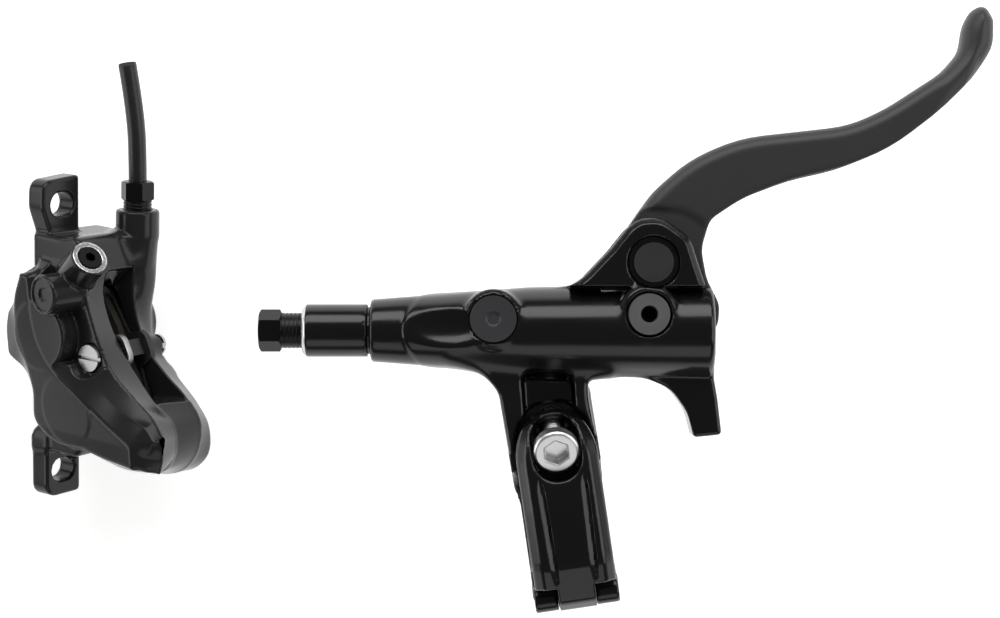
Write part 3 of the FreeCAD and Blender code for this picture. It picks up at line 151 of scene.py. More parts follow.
class Finish:
    """A surface finish: one material whose nodes are added by name."""

    def __init__(self, name):
        self.material = bpy.data.materials.new(name)
        self.material.use_nodes = True
        self.tree = self.material.node_tree
        self.tree.nodes.clear()
        self.place = self.node("TexCoord", out="Object")

    def node(self, kind, settings=None, inputs=None, out=0):
        made = self.tree.nodes.new("ShaderNode" + kind)
        for key, value in (settings or {}).items():
            if key == "stops":
                ramp = made.color_ramp
                while len(ramp.elements) < len(value):
                    ramp.elements.new(0.5)
                for element, (position, colour) in zip(ramp.elements, value):
                    element.position = position
                    element.color = colour
            else:
                setattr(made, key, value)
        for key, value in (inputs or {}).items():
            if isinstance(value, Value):
                self.tree.links.new(value.socket, made.inputs[key])
            else:
                made.inputs[key].default_value = value
        return Value(self, made.outputs[out])

    def noise(self, scale, detail):
        """Noise from 0 to 1; scale is in features per metre."""
        return self.node("TexNoise", {}, {"Vector": self.place, "Scale": scale, "Detail": detail,
                                          "Roughness": 0.55})

    def vector(self, operation, a, b=None, out=0):
        """Vector Math of one or two vectors; the ones that give a number have it at "Value"."""
        given = {0: a} if b is None else {0: a, 1: b if isinstance(b, Value) else tuple(b)}
        return self.node("VectorMath", {"operation": operation}, given, out)

    def between(self, mask, low, high):
        """Colour that goes from low to high with the mask."""
        return self.node("Mix", {"data_type": "RGBA"}, {"Factor": mask, 6: low, 7: high}, out=2)

    def bump(self, height, depth):
        """Normal from a height of 0 to 1 that stands for depth metres."""
        return self.node("Bump", {}, {"Height": height, "Distance": depth, "Strength": 1.0})

    def surface(self, **inputs):
        """The finished surface; names have _ in place of a space."""
        named = {key.replace("_", " "): value for key, value in inputs.items()}
        shader = self.node("BsdfPrincipled", {}, named)
        output = self.tree.nodes.new("ShaderNodeOutputMaterial")
        self.tree.links.new(shader.socket, output.inputs["Surface"])
        return self.material


white = Finish("table_white")
paper = white.between(white.noise(8, 2), (0.86, 0.86, 0.855, 1), (0.9, 0.9, 0.895, 1))
white.surface(Base_Color=paper, Roughness=0.8, Emission_Color=paper, Emission_Strength=0.75)
table.materials.append(white.material)


# Lever housing: one aluminium casting that holds the master cylinder, the reservoir, the two
# ears of the lever's pivot and the fixed half of the handlebar clamp. It is sprayed gloss
# black, and its face round the hose nut is turned bare after the paint.
ROW_COS = math.cos(TILT)
ROW_SIN = math.sin(TILT)
CYLINDER_V = 40.8
CYLINDER_Z = 2.0
CYLINDER_END = 31.8
CYLINDER_START = -42.4
MASTER_BORE_R = 5.0
NOSE_END = -57.3
NOSE_R = 5.75
PIVOT = (18.7, 55.5)
BLEED_SCREW = (17.6, 44.4)
FILL_PLUG = (-15.7, 43.4)
BAR_R = 11.1
HINGE_Y = -17.2
KNUCKLE_R = 2.9
CLAMP_HALF = 9.3
SPLIT_Z = -0.6
BOLT_Y = 21.2
BOLT_LEAN = math.radians(23.6)


def arced(points, radii):
    """Closed outline whose corners are arcs of the given radii, as an array of points."""
    points = np.array(points, float)
    n = len(points)
    radii = radii if isinstance(radii, (list, tuple)) else [radii] * n
    ring = []
    for i in range(n):
        to_last = points[i - 1] - points[i]
        to_next = points[(i + 1) % n] - points[i]
        last_len = np.hypot(*to_last)
        next_len = np.hypot(*to_next)
        to_last /= last_len
        to_next /= next_len
        half = math.acos(np.clip(to_last @ to_next, -1, 1)) / 2
        reach = min(radii[i] / math.tan(half), 0.49 * last_len, 0.49 * next_len)
        radius = reach * math.tan(half)
        middle = (to_last + to_next) / max(np.hypot(*(to_last + to_next)), 1e-9)
        centre = points[i] + middle * (radius / math.sin(half))
        start = points[i] + to_last * reach - centre
        end = points[i] + to_next * reach - centre
        first = math.atan2(start[1], start[0])
        sweep = (math.atan2(end[1], end[0]) - first + math.pi) % (2 * math.pi) - math.pi
        steps = max(1, int(abs(sweep) * math.sqrt(radius / 0.16)))
        for step in range(steps + 1):
            angle = first + sweep * step / steps
            ring.append(centre + radius * np.array((math.cos(angle), math.sin(angle))))
    return np.array(ring)


def flowing(points, corners=()):
    """Closed outline that runs smoothly through its points and turns sharply at the numbered ones."""
    points = np.array(points, float)
    n = len(points)
    way = np.roll(points, -1, 0) - points
    span = np.hypot(*way.T)
    way /= span[:, None]
    last_span = np.roll(span, 1)
    heading = way * last_span[:, None] + np.roll(way, 1, 0) * span[:, None]
    heading /= (span + last_span)[:, None]
    ring = []
    for i in range(n):
        j = (i + 1) % n
        leave = (way[i] if i in corners else heading[i]) * span[i]
        arrive = (way[i] if j in corners else heading[j]) * span[i]
        for s in np.arange(0, 1, 1 / max(1, round(span[i] / 1.3))):
            ring.append((2 * s ** 3 - 3 * s ** 2 + 1) * points[i] + (s ** 3 - 2 * s ** 2 + s) * leave
                        + (3 * s ** 2 - 2 * s ** 3) * points[j] + (s ** 3 - s ** 2) * arrive)
    return np.array(ring)


def outline(x, y, ring):
    """Distance to a closed outline, negative inside it."""
    x = np.asarray(x, np.float32)
    y = np.asarray(y, np.float32)
    nearest = np.full(np.broadcast(x, y).shape, 1e12, np.float32)
    inside = np.zeros(nearest.shape, bool)
    for (ax, ay), (bx, by) in zip(np.roll(ring, 1, 0), ring):
        ex, ey = bx - ax, by - ay
        length = ex * ex + ey * ey
        if length < 1e-12:
            continue
        px = x - ax
        py = y - ay
        along = np.clip((px * ex + py * ey) / length, 0, 1)
        nearest = np.minimum(nearest, (px - along * ex) ** 2 + (py - along * ey) ** 2)
        if ey:
            inside ^= ((y < ay) != (y < by)) & (px < py * ex / ey)
    return np.where(inside, -1, 1) * np.sqrt(nearest)


def meet(a, b, radius=0.0):
    """What both forms share, its edge rounded."""
    if not radius:
        return np.maximum(a, b)
    rounded = np.hypot(np.maximum(a + radius, 0), np.maximum(b + radius, 0))
    return np.minimum(np.maximum(a, b), -radius) + rounded


def bevel(a, b, width):
    """What both forms share, its edge cut off at 45 degrees."""
    return np.maximum(np.maximum(a, b), (a + b + width) * 0.7071)


def join(a, b, radius=0.0):
    """Both forms together, a fillet between them."""
    if not radius:
        return np.minimum(a, b)
    near = np.maximum(radius - np.abs(a - b), 0) / radius
    return np.minimum(a, b) - near * near * radius / 4


def carve(a, b, radius=0.0):
    """The first form with the second one cut out of it."""
    return -join(-a, b, radius)


def rod(x, y, z, start, end, r0, r1=None, round_off=0.3):
    """Round bar or cone between two points, its rims rounded."""
    r1 = r0 if r1 is None else r1
    way = np.array(end, float) - start
    length = np.linalg.norm(way)
    way /= length
    px, py, pz = x - start[0], y - start[1], z - start[2]
    along = px * way[0] + py * way[1] + pz * way[2]
    away = np.sqrt(np.maximum(px * px + py * py + pz * pz - along * along, 0))
    side = away - (r0 + (r1 - r0) * np.clip(along / length, 0, 1))
    return meet(side, np.abs(along - length / 2) - length / 2, round_off)


def skin_mesh(name, form, low, high, step, to_row):
    """Mesh over the zero surface of a form given in millimetres, its points moved onto it."""
    axes = [np.arange(a, b + step, step, dtype=np.float32) for a, b in zip(low, high)]
    field = np.asarray(form(*np.meshgrid(*axes, indexing="ij", sparse=True)), np.float32)
    inside = field < 0
    corner = [(i, j, k) for i in (0, 1) for j in (0, 1) for k in (0, 1)]

    def shifted(grid, c):
        return grid[tuple(slice(first, count - 1 + first) for first, count in zip(c, grid.shape))]

    some = np.zeros(tuple(s - 1 for s in field.shape), bool)
    every = np.ones_like(some)
    for c in corner:
        some |= shifted(inside, c)
        every &= shifted(inside, c)
    cells = np.argwhere(some & ~every)
    at = [field[tuple((cells + c).T)] for c in corner]
    total = np.zeros((len(cells), 3))
    hits = np.zeros(len(cells))
    for i, a in enumerate(corner):
        for j in range(i + 1, 8):
            b = corner[j]
            if sum(p != q for p, q in zip(a, b)) != 1:
                continue
            crossed = (at[i] < 0) != (at[j] < 0)
            share = np.where(crossed, at[i] / np.where(crossed, at[i] - at[j], 1), 0)
            total += crossed[:, None] * (np.array(a) + share[:, None] * (np.array(b) - a))
            hits += crossed
    points = np.array(low) + step * (cells + total / hits[:, None])
    number = np.full(some.shape, -1, np.int64)
    number[tuple(cells.T)] = np.arange(len(cells))
    quads = []
    for axis in range(3):
        p, q = (axis + 1) % 3, (axis + 2) % 3
        before = np.take(inside, range(inside.shape[axis] - 1), axis)
        after = np.take(inside, range(1, inside.shape[axis]), axis)
        edges = np.argwhere(before != after)
        edges = edges[(edges[:, p] > 0) & (edges[:, q] > 0)
                      & (edges[:, p] < some.shape[p]) & (edges[:, q] < some.shape[q])]
        out = before[tuple(edges.T)]
        around = []
        for dp, dq in ((1, 1), (0, 1), (0, 0), (1, 0)):
            cell = edges.copy()
            cell[:, p] -= dp
            cell[:, q] -= dq
            around.append(number[tuple(cell.T)])
        quad = np.stack(around, 1)
        quads.append(np.where(out[:, None], quad, quad[:, ::-1]))
    quads = np.concatenate(quads)
    probe = 0.02
    for _ in range(4):
        here = form(*points.T)
        slope = np.stack([(form(*(points + probe * e).T) - form(*(points - probe * e).T)) / (2 * probe)
                          for e in np.eye(3)], 1)
        size = np.maximum((slope ** 2).sum(1), 0.05)
        move = -(here / size)[:, None] * slope
        points += np.clip(move, -0.35 * step, 0.35 * step)
    mesh = bpy.data.meshes.new(name)
    placed = to_row(points) * MM
    mesh.vertices.add(len(placed))
    mesh.vertices.foreach_set("co", placed.astype(np.float32).ravel())
    mesh.loops.add(quads.size)
    mesh.loops.foreach_set("vertex_index", quads.astype(np.int32).ravel())
    mesh.polygons.add(len(quads))
    mesh.polygons.foreach_set("loop_start", np.arange(0, quads.size, 4, dtype=np.int32))
    mesh.update(calc_edges=True)
    mesh.validate()
    mesh.shade_smooth()
    return in_scene(name, mesh)


def lever_axes_to_row(points):
    """From the master cylinder's own axes to the handlebar's."""
    u, v, z = points.T
    return np.stack([u * ROW_COS + v * ROW_SIN, v * ROW_COS - u * ROW_SIN, z], 1)


EAR_RING = arced([(-6.0, 48.5), (2.5, 51.0), (9.4, 58.3), (13.0, 62.8), (15.5, 64.9), (20.5, 65.2),
                  (26.5, 61.0), (28.4, 55.0), (30.6, 48.5), (30.6, 40.0), (-6.0, 40.0)],
                 [1, 12, 5, 5, 5, 6, 5, 5, 1, 1, 1])
ARM_RING = arced([(-27.0, 35.5), (-18.6, 32.1), (-14.6, 27.5), (-12.6, 16.0), (-10.2, 2.0), (8.6, 4.8),
                  (6.6, 17.5), (5.0, 26.0), (4.8, 30.2), (10.0, 31.2), (10.0, 38.0), (-20.0, 38.0)],
                 [1, 6, 6, 8, 0.1, 0.1, 8, 5, 1.5, 1, 1, 1])
LEG_RING = arced([(4.0, 31.2), (16.5, 30.8), (22.8, 28.2), (26.4, 23.0), (27.8, 17.6), (33.9, 18.2),
                  (33.0, 26.0), (31.8, 33.0), (31.8, 38.0), (4.0, 38.0)], [1, 8, 8, 8, 0.8, 0.8, 4, 1, 1, 1])
SLOT_RING = arced([(8.0, 34.0), (36.0, 34.0), (36.0, 75.0), (-6.0, 75.0), (4.0, 53.0), (8.0, 50.5)], 0.8)
TANK_RING = arced([(-33.0, 33.3), (5.0, 33.3), (5.0, 48.3), (-33.0, 48.3)], 5.0)
RELIEF_RING = arced([(-9.9, 33.2), (1.5, 33.2), (3.1, 10.0), (-7.9, 10.0)], 2.6)
CLAMP_RING = arced([(-14.2, -0.6), (-14.9, -5.0), (-10.5, -12.0), (-2.0, -14.9), (8.0, -13.6), (20.0, -10.0),
                    (27.5, -10.0), (27.0, -0.4), (22.0, -0.6)], [0.1, 5, 6, 8, 8, 6, 1, 1, 0.1])
COVER_ROOM_RING = arced([(-12.3, 12.0), (12.3, 12.0), (12.3, 15.0), (9.4, 15.4), (7.3, 22.0), (3.5, 25.4),
                         (-3.5, 25.4), (-7.3, 22.0), (-9.4, 15.4), (-12.3, 15.0)],
                        [1, 1, 0.5, 2, 5, 5, 5, 5, 2, 0.5])
BOLT_WAY = (-math.sin(BOLT_LEAN), math.cos(BOLT_LEAN))


def from_bolt(x, y, z):
    """Distance from the clamp bolt's axis, and the distance along it."""
    across = np.hypot(x, (y - BOLT_Y) * BOLT_WAY[1] - z * BOLT_WAY[0])
    return across, (y - BOLT_Y) * BOLT_WAY[0] + z * BOLT_WAY[1]


def housing_form(u, v, z):
    x = u * ROW_COS + v * ROW_SIN
    y = v * ROW_COS - u * ROW_SIN
    off = v - CYLINDER_V
    up = z - CYLINDER_Z
    around = np.hypot(off, up)
    hinge = np.hypot(y - HINGE_Y, z)
    width = np.interp(u, (CYLINDER_START, -8.0, CYLINDER_END), (6.8, 9.4, 10.2))
    body = meet(around - width, np.maximum(CYLINDER_START - u, u - CYLINDER_END), 0.7)
    sleeve = np.hypot(off, np.where(up > 0, up / 1.09, up)) - width
    body = join(body, meet(sleeve, np.maximum(-35.5 - u + 0.06 * off ** 2, u - CYLINDER_END), 1.2), 0.4)
    ears = bevel(outline(u, v, EAR_RING), np.abs(up) - 8.65, 1.3)
    ears = np.maximum(ears, np.clip(44.0 + up * 2.4, 44.0, 50.4) - v)
    # The leg behind the blade, the arm down to the clamp, the tank below and the two bosses
    leg_top = np.where(v > 31.0, 5.2 + np.clip(v - 31.0, 0, 5.0) * 0.95, 5.2)
    leg = meet(outline(u, v, LEG_RING), np.maximum(z - leg_top, -5.5 - z), 1.0)
    arm = meet(outline(u, v, ARM_RING), np.maximum(z - 7.0, -10.0 - z), 1.4)
    arm = carve(arm, meet(outline(u, v, RELIEF_RING), 0.5 - z, 1.5), 0.8)
    tank = meet(outline(u, v, TANK_RING), np.maximum(z - 2.0, -12.0 - z), 0.6)
    body = join(body, ears, 0.7)
    body = join(body, arm, 3.0)
    body = join(body, leg, 1.2)
    body = join(body, tank, 1.6)
    bleed_boss = np.hypot(u - BLEED_SCREW[0], v - BLEED_SCREW[1])
    plug_boss = np.hypot(u - FILL_PLUG[0], v - FILL_PLUG[1])
    body = join(body, bevel(bleed_boss - 6.6, np.maximum(z - 12.0, 4.0 - z), 1.1), 0.9)
    body = join(body, bevel(plug_boss - 6.4, np.maximum(z - 11.6, 4.0 - z), 1.0), 0.9)
    dish = np.sqrt(((u + 26.6) / 1.9) ** 2 + ((v - 42.2) / 1.15) ** 2 + (z - 14.6) ** 2) - 5.9
    body = carve(body, dish, 0.9)
    # The nose for the hose nut, with its chamfer and the groove behind it
    nose = rod(u, v, z, (NOSE_END, CYLINDER_V, CYLINDER_Z), (-41.0, CYLINDER_V, CYLINDER_Z), NOSE_R,
               round_off=0.1)
    nose = np.maximum(nose, (around - NOSE_R - (u - NOSE_END) + 0.9) * 0.7071)
    groove = meet(-(around - 5.2), np.abs(u + 42.75) - 0.35)
    body = carve(np.minimum(body, nose), groove)
    # The clamp's fixed half with its hinge knuckles, the room for the cover, and the bar's bore
    sides = np.abs(x) - CLAMP_HALF
    clamp = meet(outline(y, z, CLAMP_RING), sides, 0.8)
    knuckle = meet(hinge - KNUCKLE_R, sides, 0.4)
    foot = np.maximum(np.maximum(np.abs(y + 14.2) - 2.7, np.abs(z + 2.75) - 2.15), sides)
    body = join(body, clamp, 2.0)
    front = np.maximum(np.maximum(y - 13.0, SPLIT_Z - z), KNUCKLE_R - hinge)
    body = carve(body, front)
    body = np.minimum(body, join(knuckle, foot, 0.8))
    body = carve(body, np.maximum(outline(x, y, COVER_ROOM_RING), SPLIT_Z - z), 0.4)
    body = carve(body, np.maximum(hinge - 3.3, np.abs(x) - 4.2))
    body = carve(body, np.hypot(y, z) - BAR_R, 0.3)
    body = carve(body, np.minimum(hinge - 1.5, from_bolt(x, y, z)[0] - 2.45))
    # The blade's slot, the cylinder's mouth and bore, the tank's room and the screws' pockets
    slot = np.maximum(outline(u, v, SLOT_RING), np.abs(up) - 4.25)
    mouth = np.maximum(np.hypot(v - 41.6, up) - 7.0, 27.3 - u)
    body = carve(body, slot, 0.5)
    body = carve(body, mouth, 0.4)
    bore = np.maximum(np.maximum(around - MASTER_BORE_R, -34.0 - u), u - 9.0)
    tank_room = np.maximum(outline(u, v, TANK_RING) + 2.0, z + 6.0)
    for centre in (-28.8, 0.8):
        tank_room = carve(tank_room, np.hypot(u - centre, off) - 2.45)
    body = carve(body, np.minimum(bore, tank_room))
    body = carve(body, np.minimum(np.maximum(around - 3.8, u + 48.3), np.maximum(around - 3.0, u + 43.3)))
    bleed_pocket = np.minimum(np.maximum(bleed_boss - 4.9, 10.0 - z), np.maximum(bleed_boss - 2.5, 7.3 - z))
    plug_pocket = np.minimum(np.maximum(plug_boss - 5.1, 9.2 - z), np.maximum(plug_boss - 1.6, 7.5 - z))
    body = carve(body, np.minimum(bleed_pocket, plug_pocket), 0.2)
    pivot = np.hypot(u - PIVOT[0], v - PIVOT[1])
    body = carve(body, np.minimum(pivot - 3.0, np.maximum(pivot - 5.65, 9.25 - z)), 0.2)
    return body


housing = skin_mesh("housing_casting", housing_form, (-59, -25, -14), (37, 68, 15), 0.5, lever_axes_to_row)


class GlossPaint(Finish):
    """Sprayed gloss black: a faint orange peel, specks of dust and dulled patches from handling."""

    def __init__(self, name, bare=None, lift=0.0, shine=0.5):
        super().__init__(name)
        handled = self.noise(45, 2)
        dust = self.node("ValToRGB", {"stops": [(0.70, (0, 0, 0, 1)), (0.78, (1, 1, 1, 1))]},
                         {"Fac": self.noise(2600, 1)})
        dull = handled * 0.07 + dust * 0.05 + 0.16
        colour = self.between(handled * 0.5 + dust * 0.15, (0.003 + lift, 0.003 + lift, 0.0038 + lift, 1),
                              (0.008 + lift, 0.008 + lift, 0.0095 + lift, 1))
        peel_height = self.noise(900, 2)
        metal = 0.0
        if bare:
            mask = bare(self)
            tool_marks = self.noise(3000, 2)
            colour = self.between(mask, colour, (0.62, 0.62, 0.614, 1))
            dull = dull * (1 - mask) + (tool_marks * 0.12 + 0.22) * mask
            metal = mask
        self.surface(Base_Color=colour, Roughness=dull, Metallic=metal, Specular_IOR_Level=shine,
                     Normal=self.bump(peel_height, 0.000004))


def turned_nose(finish):
    """Mask of the bare turned chamfer at the end of the nose."""
    along = finish.vector("DOT_PRODUCT", finish.place, (ROW_COS, -ROW_SIN, 0), "Value")
    return along < (NOSE_END + 0.85) * MM


housing_paint = GlossPaint("housing_gloss_paint", bare=turned_nose)
housing.data.materials.append(housing_paint.material)
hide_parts("lever_housing")
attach(housing, "brake_body")


# Master cylinder's inside: a hard-anodised piston with two lip seals, pushed by a short rod that
# swings on a cross pin in the blade, held by a wire ring and sent back by a coil spring.
class Turned(Finish):
    """Metal turned on a lathe: fine rings round its own axis, a little tarnish, a satin gloss, and, if asked,
    painted shade as a near-black disc round the axis for a hole.
    """

    def __init__(self, name, tone, dull, way, centre, tint=(1, 1, 1), painted_shade_hole=0.0):
        super().__init__(name)
        tarnish = self.noise(70, 3)
        out = self.vector("SUBTRACT", self.place, centre)
        along = self.vector("DOT_PRODUCT", out, way, "Value")
        away = self.vector("LENGTH", self.vector("CROSS_PRODUCT", out, way), out="Value")
        rings = self.node("CombineXYZ", {}, {"X": along, "Y": away})
        cuts = self.node("TexNoise", {}, {"Vector": rings, "Scale": 5200.0, "Detail": 2.0})
        low = tuple(tone * 0.8 * c for c in tint) + (1,)
        high = tuple(min(tone * 1.12 * c, 1) for c in tint) + (1,)
        colour = self.between(tarnish * 0.55 + cuts * 0.45, low, high)
        # Painted shade: a near-black disc of this radius round the axis stands for the shade down a hole in
        # the part.
        if painted_shade_hole:
            colour = self.between((away - painted_shade_hole) * 6000, (0.004, 0.004, 0.004, 1), colour)
        self.surface(Base_Color=colour, Metallic=1.0, Roughness=tarnish * 0.08 + cuts * 0.08 + dull,
                     Normal=self.bump(cuts, 0.000003))


class Moulded(Finish):
    """Rubber, plastic or pressed compound: matt, with a fine grain and slight shading by wear."""

    def __init__(self, name, low, high, dull, grain=3500, depth=0.000006, metal=0.0):
        super().__init__(name)
        wear = self.noise(60, 3)
        grains = self.noise(grain, 2)
        colour = self.between(wear * 0.5 + grains * 0.5, low + (1,), high + (1,))
        self.surface(Base_Color=colour, Metallic=metal, Roughness=wear * 0.08 + grains * 0.1 + dull,
                     Normal=self.bump(grains, depth))


def dress(finish, *nodes):
    """Give the pieces that keep their plain shape their finish."""
    for node in nodes:
        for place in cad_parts[node].material_slots:
            place.material = finish.material


def lever_point(u, v, z):
    """Place in metres of a point given along and across the master cylinder, in millimetres."""
    return lever_axes_to_row(np.array([(u, v, z)], float))[0] * MM


CYLINDER_WAY = (ROW_COS, -ROW_SIN, 0)
CYLINDER_POINT = lever_point(0, CYLINDER_V, CYLINDER_Z)
dress(Turned("piston_anodised", 0.62, 0.24, CYLINDER_WAY, CYLINDER_POINT), "master_piston")
dress(Turned("bright_steel", 0.58, 0.22, CYLINDER_WAY, CYLINDER_POINT),
      "push_rod", "push_rod_pin", "piston_retaining_ring", "return_spring")
seal_rubber = Moulded("seal_rubber", (0.012, 0.012, 0.013), (0.028, 0.028, 0.03), 0.5)
dress(seal_rubber, "primary_seal", "secondary_seal")

# Lever pivot: two flanged plastic bushes pressed into the blade's hub, a blacked steel pin fixed
# in the ears with a flush cap, and the blade's grub screw that sets how far it stands out.
PIVOT_POINT = lever_point(*PIVOT, CYLINDER_Z)
bush_plastic = Moulded("bush_acetal", (0.03, 0.03, 0.032), (0.055, 0.055, 0.057), 0.38)
dress(bush_plastic, "pivot_bush_top", "pivot_bush_bottom")
dress(Turned("pivot_pin_blacked", 0.09, 0.42, (0, 0, 1), PIVOT_POINT, (1, 1, 1.05)), "lever_pivot_pin")
dress(Turned("reach_screw_steel", 0.5, 0.26, (0, 0, 1), PIVOT_POINT), "reach_adjust_screw")

# Reservoir: a rubber diaphragm under a screwed aluminium lid on the lower side, a plastic plug in
# the filling port and a bleed screw with its ring on the upper side.
lid_finish = Moulded("lid_anodised", (0.012, 0.012, 0.013), (0.022, 0.022, 0.024), 0.34, metal=0.35)
dress(lid_finish, "reservoir_lid")
dress(Turned("lid_screw_steel", 0.55, 0.25, (0, 0, 1), PIVOT_POINT), "reservoir_lid_screws")
dress(seal_rubber, "reservoir_diaphragm", "bleed_screw_ring")
dress(Moulded("plug_acetal", (0.03, 0.03, 0.033), (0.05, 0.05, 0.054), 0.36, 1800, 0.00001), "fill_port_plug")
# The bleed screw gets painted shade: a near-black disc of 1.7 mm radius round its axis for its socket.
dress(Turned("bleed_screw_anodised_hole_shade", 0.42, 0.3, (0, 0, 1), lever_point(*BLEED_SCREW, 0), painted_shade_hole=1.7 * MM),
      "bleed_screw")


# Clamp cover: the cast front half of the handlebar clamp, hinged at its lower end and drawn
# in by one slanted bolt that sits in a round-ended well. Painted like the housing.
COVER_SIDE_RING = arced([(-14.4, 0.6), (-17.0, 0.4), (-19.7, 1.4), (-19.5, 7.6), (-17.4, 11.4), (-9.0, 14.5),
                         (4.0, 15.2), (14.0, 14.4), (22.6, 12.2), (25.4, 4.4), (22.9, 0.6)],
                        [0.1, 0.5, 1, 2, 3, 6, 8, 5, 2.5, 1.2, 0.5])
ARCH_BASE = 13.4
COVER_FRONT_RING = np.array([(-9.0, -22.0), (9.0, -22.0)]
                            + [(9.0 * math.cos(angle), ARCH_BASE + 11.8 * math.sin(angle))
                               for angle in np.linspace(0, math.pi, 33)])
WELL_RING = arced([(-5.3, 8.9), (5.3, 8.9), (5.3, 23.2), (-5.3, 23.2)], 5.2)


def cover_form(x, y, z):
    side = outline(y, z, COVER_SIDE_RING)
    front = outline(x, y, COVER_FRONT_RING)
    cover = bevel(side, front, 2.6)
    cover = meet(cover, np.maximum(side, front), 0.7)
    ends = np.maximum(np.maximum(4.0 - np.abs(x), y + 13.8), -23.2 - y)
    cover = carve(cover, ends, 0.3)
    hinge = np.hypot(y - HINGE_Y, z)
    cover = join(cover, meet(hinge - KNUCKLE_R, np.abs(x) - 4.0, 0.3), 0.6)
    across, along = from_bolt(x, y, z)
    well = np.maximum(outline(x, y, WELL_RING), 6.4 - along)
    cover = carve(cover, well, 0.7)
    cover = carve(cover, across - 3.8, 0.2)
    groove_width = 1.25 * np.sqrt(np.clip((10.6 - y) / 3.0, 0, 1) * np.clip((y + 14.2) / 6.0, 0, 1))
    for centre in (-4.2, 4.2):
        groove_line = x - centre * (1 + 0.006 * (y + 12))
        wall = (-side - 0.52 * (groove_line + groove_width)) * 0.89
        cover = carve(cover, meet(wall, groove_line - 0.7 * groove_width, 0.25), 0.25)
    cover = carve(cover, np.hypot(y, z) - BAR_R, 0.2)
    return carve(cover, hinge - 1.55)


cover = skin_mesh("clamp_cover_casting", cover_form, (-11, -22, -4), (11, 28, 18), 0.4, lambda points: points)
cover_paint = GlossPaint("clamp_cover_gloss_paint")
cover.data.materials.append(cover_paint.material)
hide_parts("clamp_cover")
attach(cover, "cover")


# Lever blade: a forged aluminium channel, open towards the handlebar, with a round outer edge
# and a ball end. It is anodised satin dark grey and turns on two bushes in its hub.
BLADE_UPPER = [(13.7, 63.4), (18.8, 70.8), (26.6, 77.7), (37.3, 82.6), (51.0, 84.1), (61.6, 85.3),
               (70.1, 89.3), (82.0, 97.0), (85.8, 101.5), (86.6, 107.1), (88.4, 110.6), (91.3, 111.9)]
BLADE_UPPER_R = [3, 18, 30, 40, 60, 40, 40, 12, 6, 8, 4, 3]
BLADE_LOWER = [(93.3, 108.5), (93.2, 102.6), (89.2, 96.3), (80.7, 88.3), (70.1, 80.2), (59.4, 76.0),
               (48.9, 73.6), (38.3, 69.6), (31.2, 64.8), (29.3, 58.5), (30.5, 52.0), (33.3, 46.5),
               (33.0, 42.0), (30.0, 38.6), (25.5, 36.6), (19.5, 37.0), (18.0, 41.0), (17.2, 46.0),
               (10.0, 55.5)]
BLADE_LOWER_R = [3, 8, 25, 40, 40, 40, 40, 30, 4, 8, 6, 5, 4, 4, 3, 2, 6, 4, 5]
BLADE_RING = arced(BLADE_UPPER + BLADE_LOWER, BLADE_UPPER_R + BLADE_LOWER_R)
SPINE_RING = arced(BLADE_UPPER + [(92.0, 80.0), (60.0, 60.0), (20.0, 55.0)], BLADE_UPPER_R + [1, 1, 1])
HUB_RING = arced([(-5, 30), (45, 30), (45, 52), (33.0, 62.0), (25.5, 67.0), (15.5, 67.5), (4.0, 62)],
                 [1, 1, 1, 6, 8, 3, 1])
CHANNEL_RING = arced([(36.0, 60.0), (60.0, 60.0), (92.0, 82.0), (90.2, 96.4), (80.0, 91.4), (68.0, 83.4),
                      (58.0, 80.0), (46.0, 78.2), (37.0, 73.6)], [1, 1, 1, 3, 20, 20, 20, 20, 3])
ROD_SLOT_RING = arced([(9.0, 28.9), (18.5, 28.9), (26.0, 37.5), (26.0, 44.3), (9.0, 44.3)], 1.5)


def blade_form(u, v, z):
    flat = outline(u, v, BLADE_RING)
    half = np.abs(z - CYLINDER_Z)
    to_spine = -outline(u, v, SPINE_RING)
    tip = np.clip((u - 80.0) / 9.0, 0, 1)
    edge = 0.8 + 2.2 * np.clip((6.0 - to_spine) / 4.0, 0, 1) + 1.6 * tip
    hub = np.clip((outline(u, v, HUB_RING) + 0.6) / 1.2, 0, 1)
    face = half - (4.1 + 0.8 * hub)
    edge = edge * hub + 0.3 * (1 - hub)
    rounded = np.hypot(np.maximum(flat + edge, 0), np.maximum(face + edge, 0))
    blade = np.minimum(np.maximum(flat, face), -edge) + rounded
    blade = carve(blade, meet(outline(u, v, CHANNEL_RING), half - 2.7, 1.2), 0.5)
    pivot = np.hypot(u - PIVOT[0], v - PIVOT[1]) - 4.2
    cross = np.hypot(u - 21.9, v - 40.9) - 2.0
    rod_slot = np.maximum(outline(u, v, ROD_SLOT_RING), half - 2.1)
    return carve(blade, np.minimum(np.minimum(pivot, cross), rod_slot))


blade = skin_mesh("lever_blade_forging", blade_form, (7, 34, -4.5), (96, 114, 8.5), 0.5, lever_axes_to_row)


class SatinAnodised(Finish):
    """Blasted and anodised dark grey: a fine grain, slightly polished where fingers rub."""

    def __init__(self, name):
        super().__init__(name)
        rubbed = self.noise(30, 2)
        grain = self.noise(5200, 2)
        colour = self.between(rubbed * 0.6 + grain * 0.4, (0.024, 0.024, 0.0249, 1),
                              (0.0375, 0.0375, 0.0384, 1))
        self.surface(Base_Color=colour, Roughness=rubbed * 0.10 + grain * 0.10 + 0.36,
                     Normal=self.bump(grain, 0.000006))


blade_finish = SatinAnodised("blade_satin_anodised")
blade.data.materials.append(blade_finish.material)
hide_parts("lever_blade")
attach(blade, "lever")


# Clamp fasteners: a stainless hinge pin through the knuckles and one stainless socket screw whose
# bare threads show between the cover's well and its head.
BOLT_LINE = Vector((0, BOLT_WAY[0], BOLT_WAY[1]))
BOLT_CROSSING = Vector((0, BOLT_Y * MM, 0))
BOLT_HEAD = (12.2, 15.4)
BOLT_HEAD_R = 4.85
BOLT_ROOT_R = 2.35


